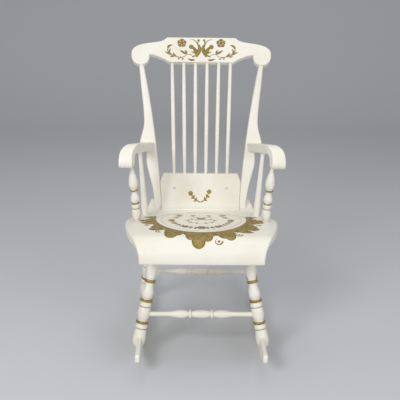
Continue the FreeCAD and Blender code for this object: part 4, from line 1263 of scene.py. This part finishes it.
class ChairStageSettings(PropertyGroup):
    """Floor and lamps."""

    floor: FloatVectorProperty(
        name="Floor", description="Colour of the sweep", default=(0.62, 0.63, 0.66), subtype="COLOR")
    front_power: FloatProperty(
        name="Front lamps", description="Power of the front soft boxes", default=64.0, unit="POWER")
    top_power: FloatProperty(
        name="Top lamp", description="Power of the upper soft box", default=24.0, unit="POWER")
    world_strength: FloatProperty(
        name="World", description="Strength of the even light from all round", default=0.40)


class CHAIR_OT_stage(Operator):
    """Sets up the camera, the sweep and the lamps"""

    bl_idname = "chair.stage"
    bl_label = "Stage"

    def execute(self, context):
        make_stage(context.scene)
        return {"FINISHED"}


class CHAIR_OT_seat(Operator):
    """Shapes and paints the three planks of the seat"""

    bl_idname = "chair.seat"
    bl_label = "Seat"

    def execute(self, context):
        make_seat(context.scene)
        return {"FINISHED"}


class CHAIR_OT_arms(Operator):
    """Shapes and paints the two rolled arms"""

    bl_idname = "chair.arms"
    bl_label = "Arms"

    def execute(self, context):
        make_arms(context.scene)
        return {"FINISHED"}


class CHAIR_OT_posts(Operator):
    """Shapes and paints the back posts"""

    bl_idname = "chair.posts"
    bl_label = "Back posts"

    def execute(self, context):
        make_posts(context.scene)
        return {"FINISHED"}


class CHAIR_OT_board(Operator):
    """Shapes and paints the back board"""

    bl_idname = "chair.board"
    bl_label = "Back board"

    def execute(self, context):
        make_board(context.scene)
        return {"FINISHED"}


class CHAIR_OT_crest(Operator):
    """Paints the crest rail and its stencilled flowers and leaves"""

    bl_idname = "chair.crest"
    bl_label = "Crest rail"

    def execute(self, context):
        make_crest(context.scene)
        return {"FINISHED"}


class CHAIR_OT_seat_ornament(Operator):
    """Paints the leaf surround and the spray on the seat"""

    bl_idname = "chair.seat_ornament"
    bl_label = "Seat ornament"

    def execute(self, context):
        make_seat_ornament(context.scene)
        return {"FINISHED"}


class CHAIR_OT_board_spray(Operator):
    """Paints the spray at the foot of the back board"""

    bl_idname = "chair.board_spray"
    bl_label = "Back board spray"

    def execute(self, context):
        make_board_spray(context.scene)
        return {"FINISHED"}


class CHAIR_OT_turnings(Operator):
    """Paints the turned pieces with their gilt bands, the rockers and the pegs"""

    bl_idname = "chair.turnings"
    bl_label = "Turnings and rockers"

    def execute(self, context):
        make_turnings(context.scene)
        return {"FINISHED"}


OPERATORS = (CHAIR_OT_stage, CHAIR_OT_seat, CHAIR_OT_arms, CHAIR_OT_posts, CHAIR_OT_board, CHAIR_OT_crest,
             CHAIR_OT_turnings, CHAIR_OT_seat_ornament, CHAIR_OT_board_spray)


class CHAIR_PT_panel(Panel):
    """Lists the chair's operators and settings"""

    bl_idname = "CHAIR_PT_panel"
    bl_label = "Boston rocking chair"
    bl_space_type = "VIEW_3D"
    bl_region_type = "UI"
    bl_category = "Chair"

    def draw(self, context):
        for operator in OPERATORS:
            self.layout.operator(operator.bl_idname)
        for group in (context.scene.chair_shape, context.scene.chair_finish, context.scene.chair_stage):
            for name in group.__annotations__:
                self.layout.prop(group, name)


SETTINGS = {"chair_shape": ChairShapeSettings, "chair_finish": ChairFinishSettings,
            "chair_stage": ChairStageSettings}


def register():
    for cls in (*SETTINGS.values(), *OPERATORS, CHAIR_PT_panel):
        bpy.utils.register_class(cls)
    for name, cls in SETTINGS.items():
        setattr(bpy.types.Scene, name, PointerProperty(type=cls))


def unregister():
    for name in SETTINGS:
        delattr(bpy.types.Scene, name)
    for cls in (CHAIR_PT_panel, *OPERATORS[::-1], *SETTINGS.values()):
        bpy.utils.unregister_class(cls)


def main():
    register()
    for operator in OPERATORS:
        category, name = operator.bl_idname.split(".")
        getattr(getattr(bpy.ops, category), name)()


if __name__ == "__main__":
    main()
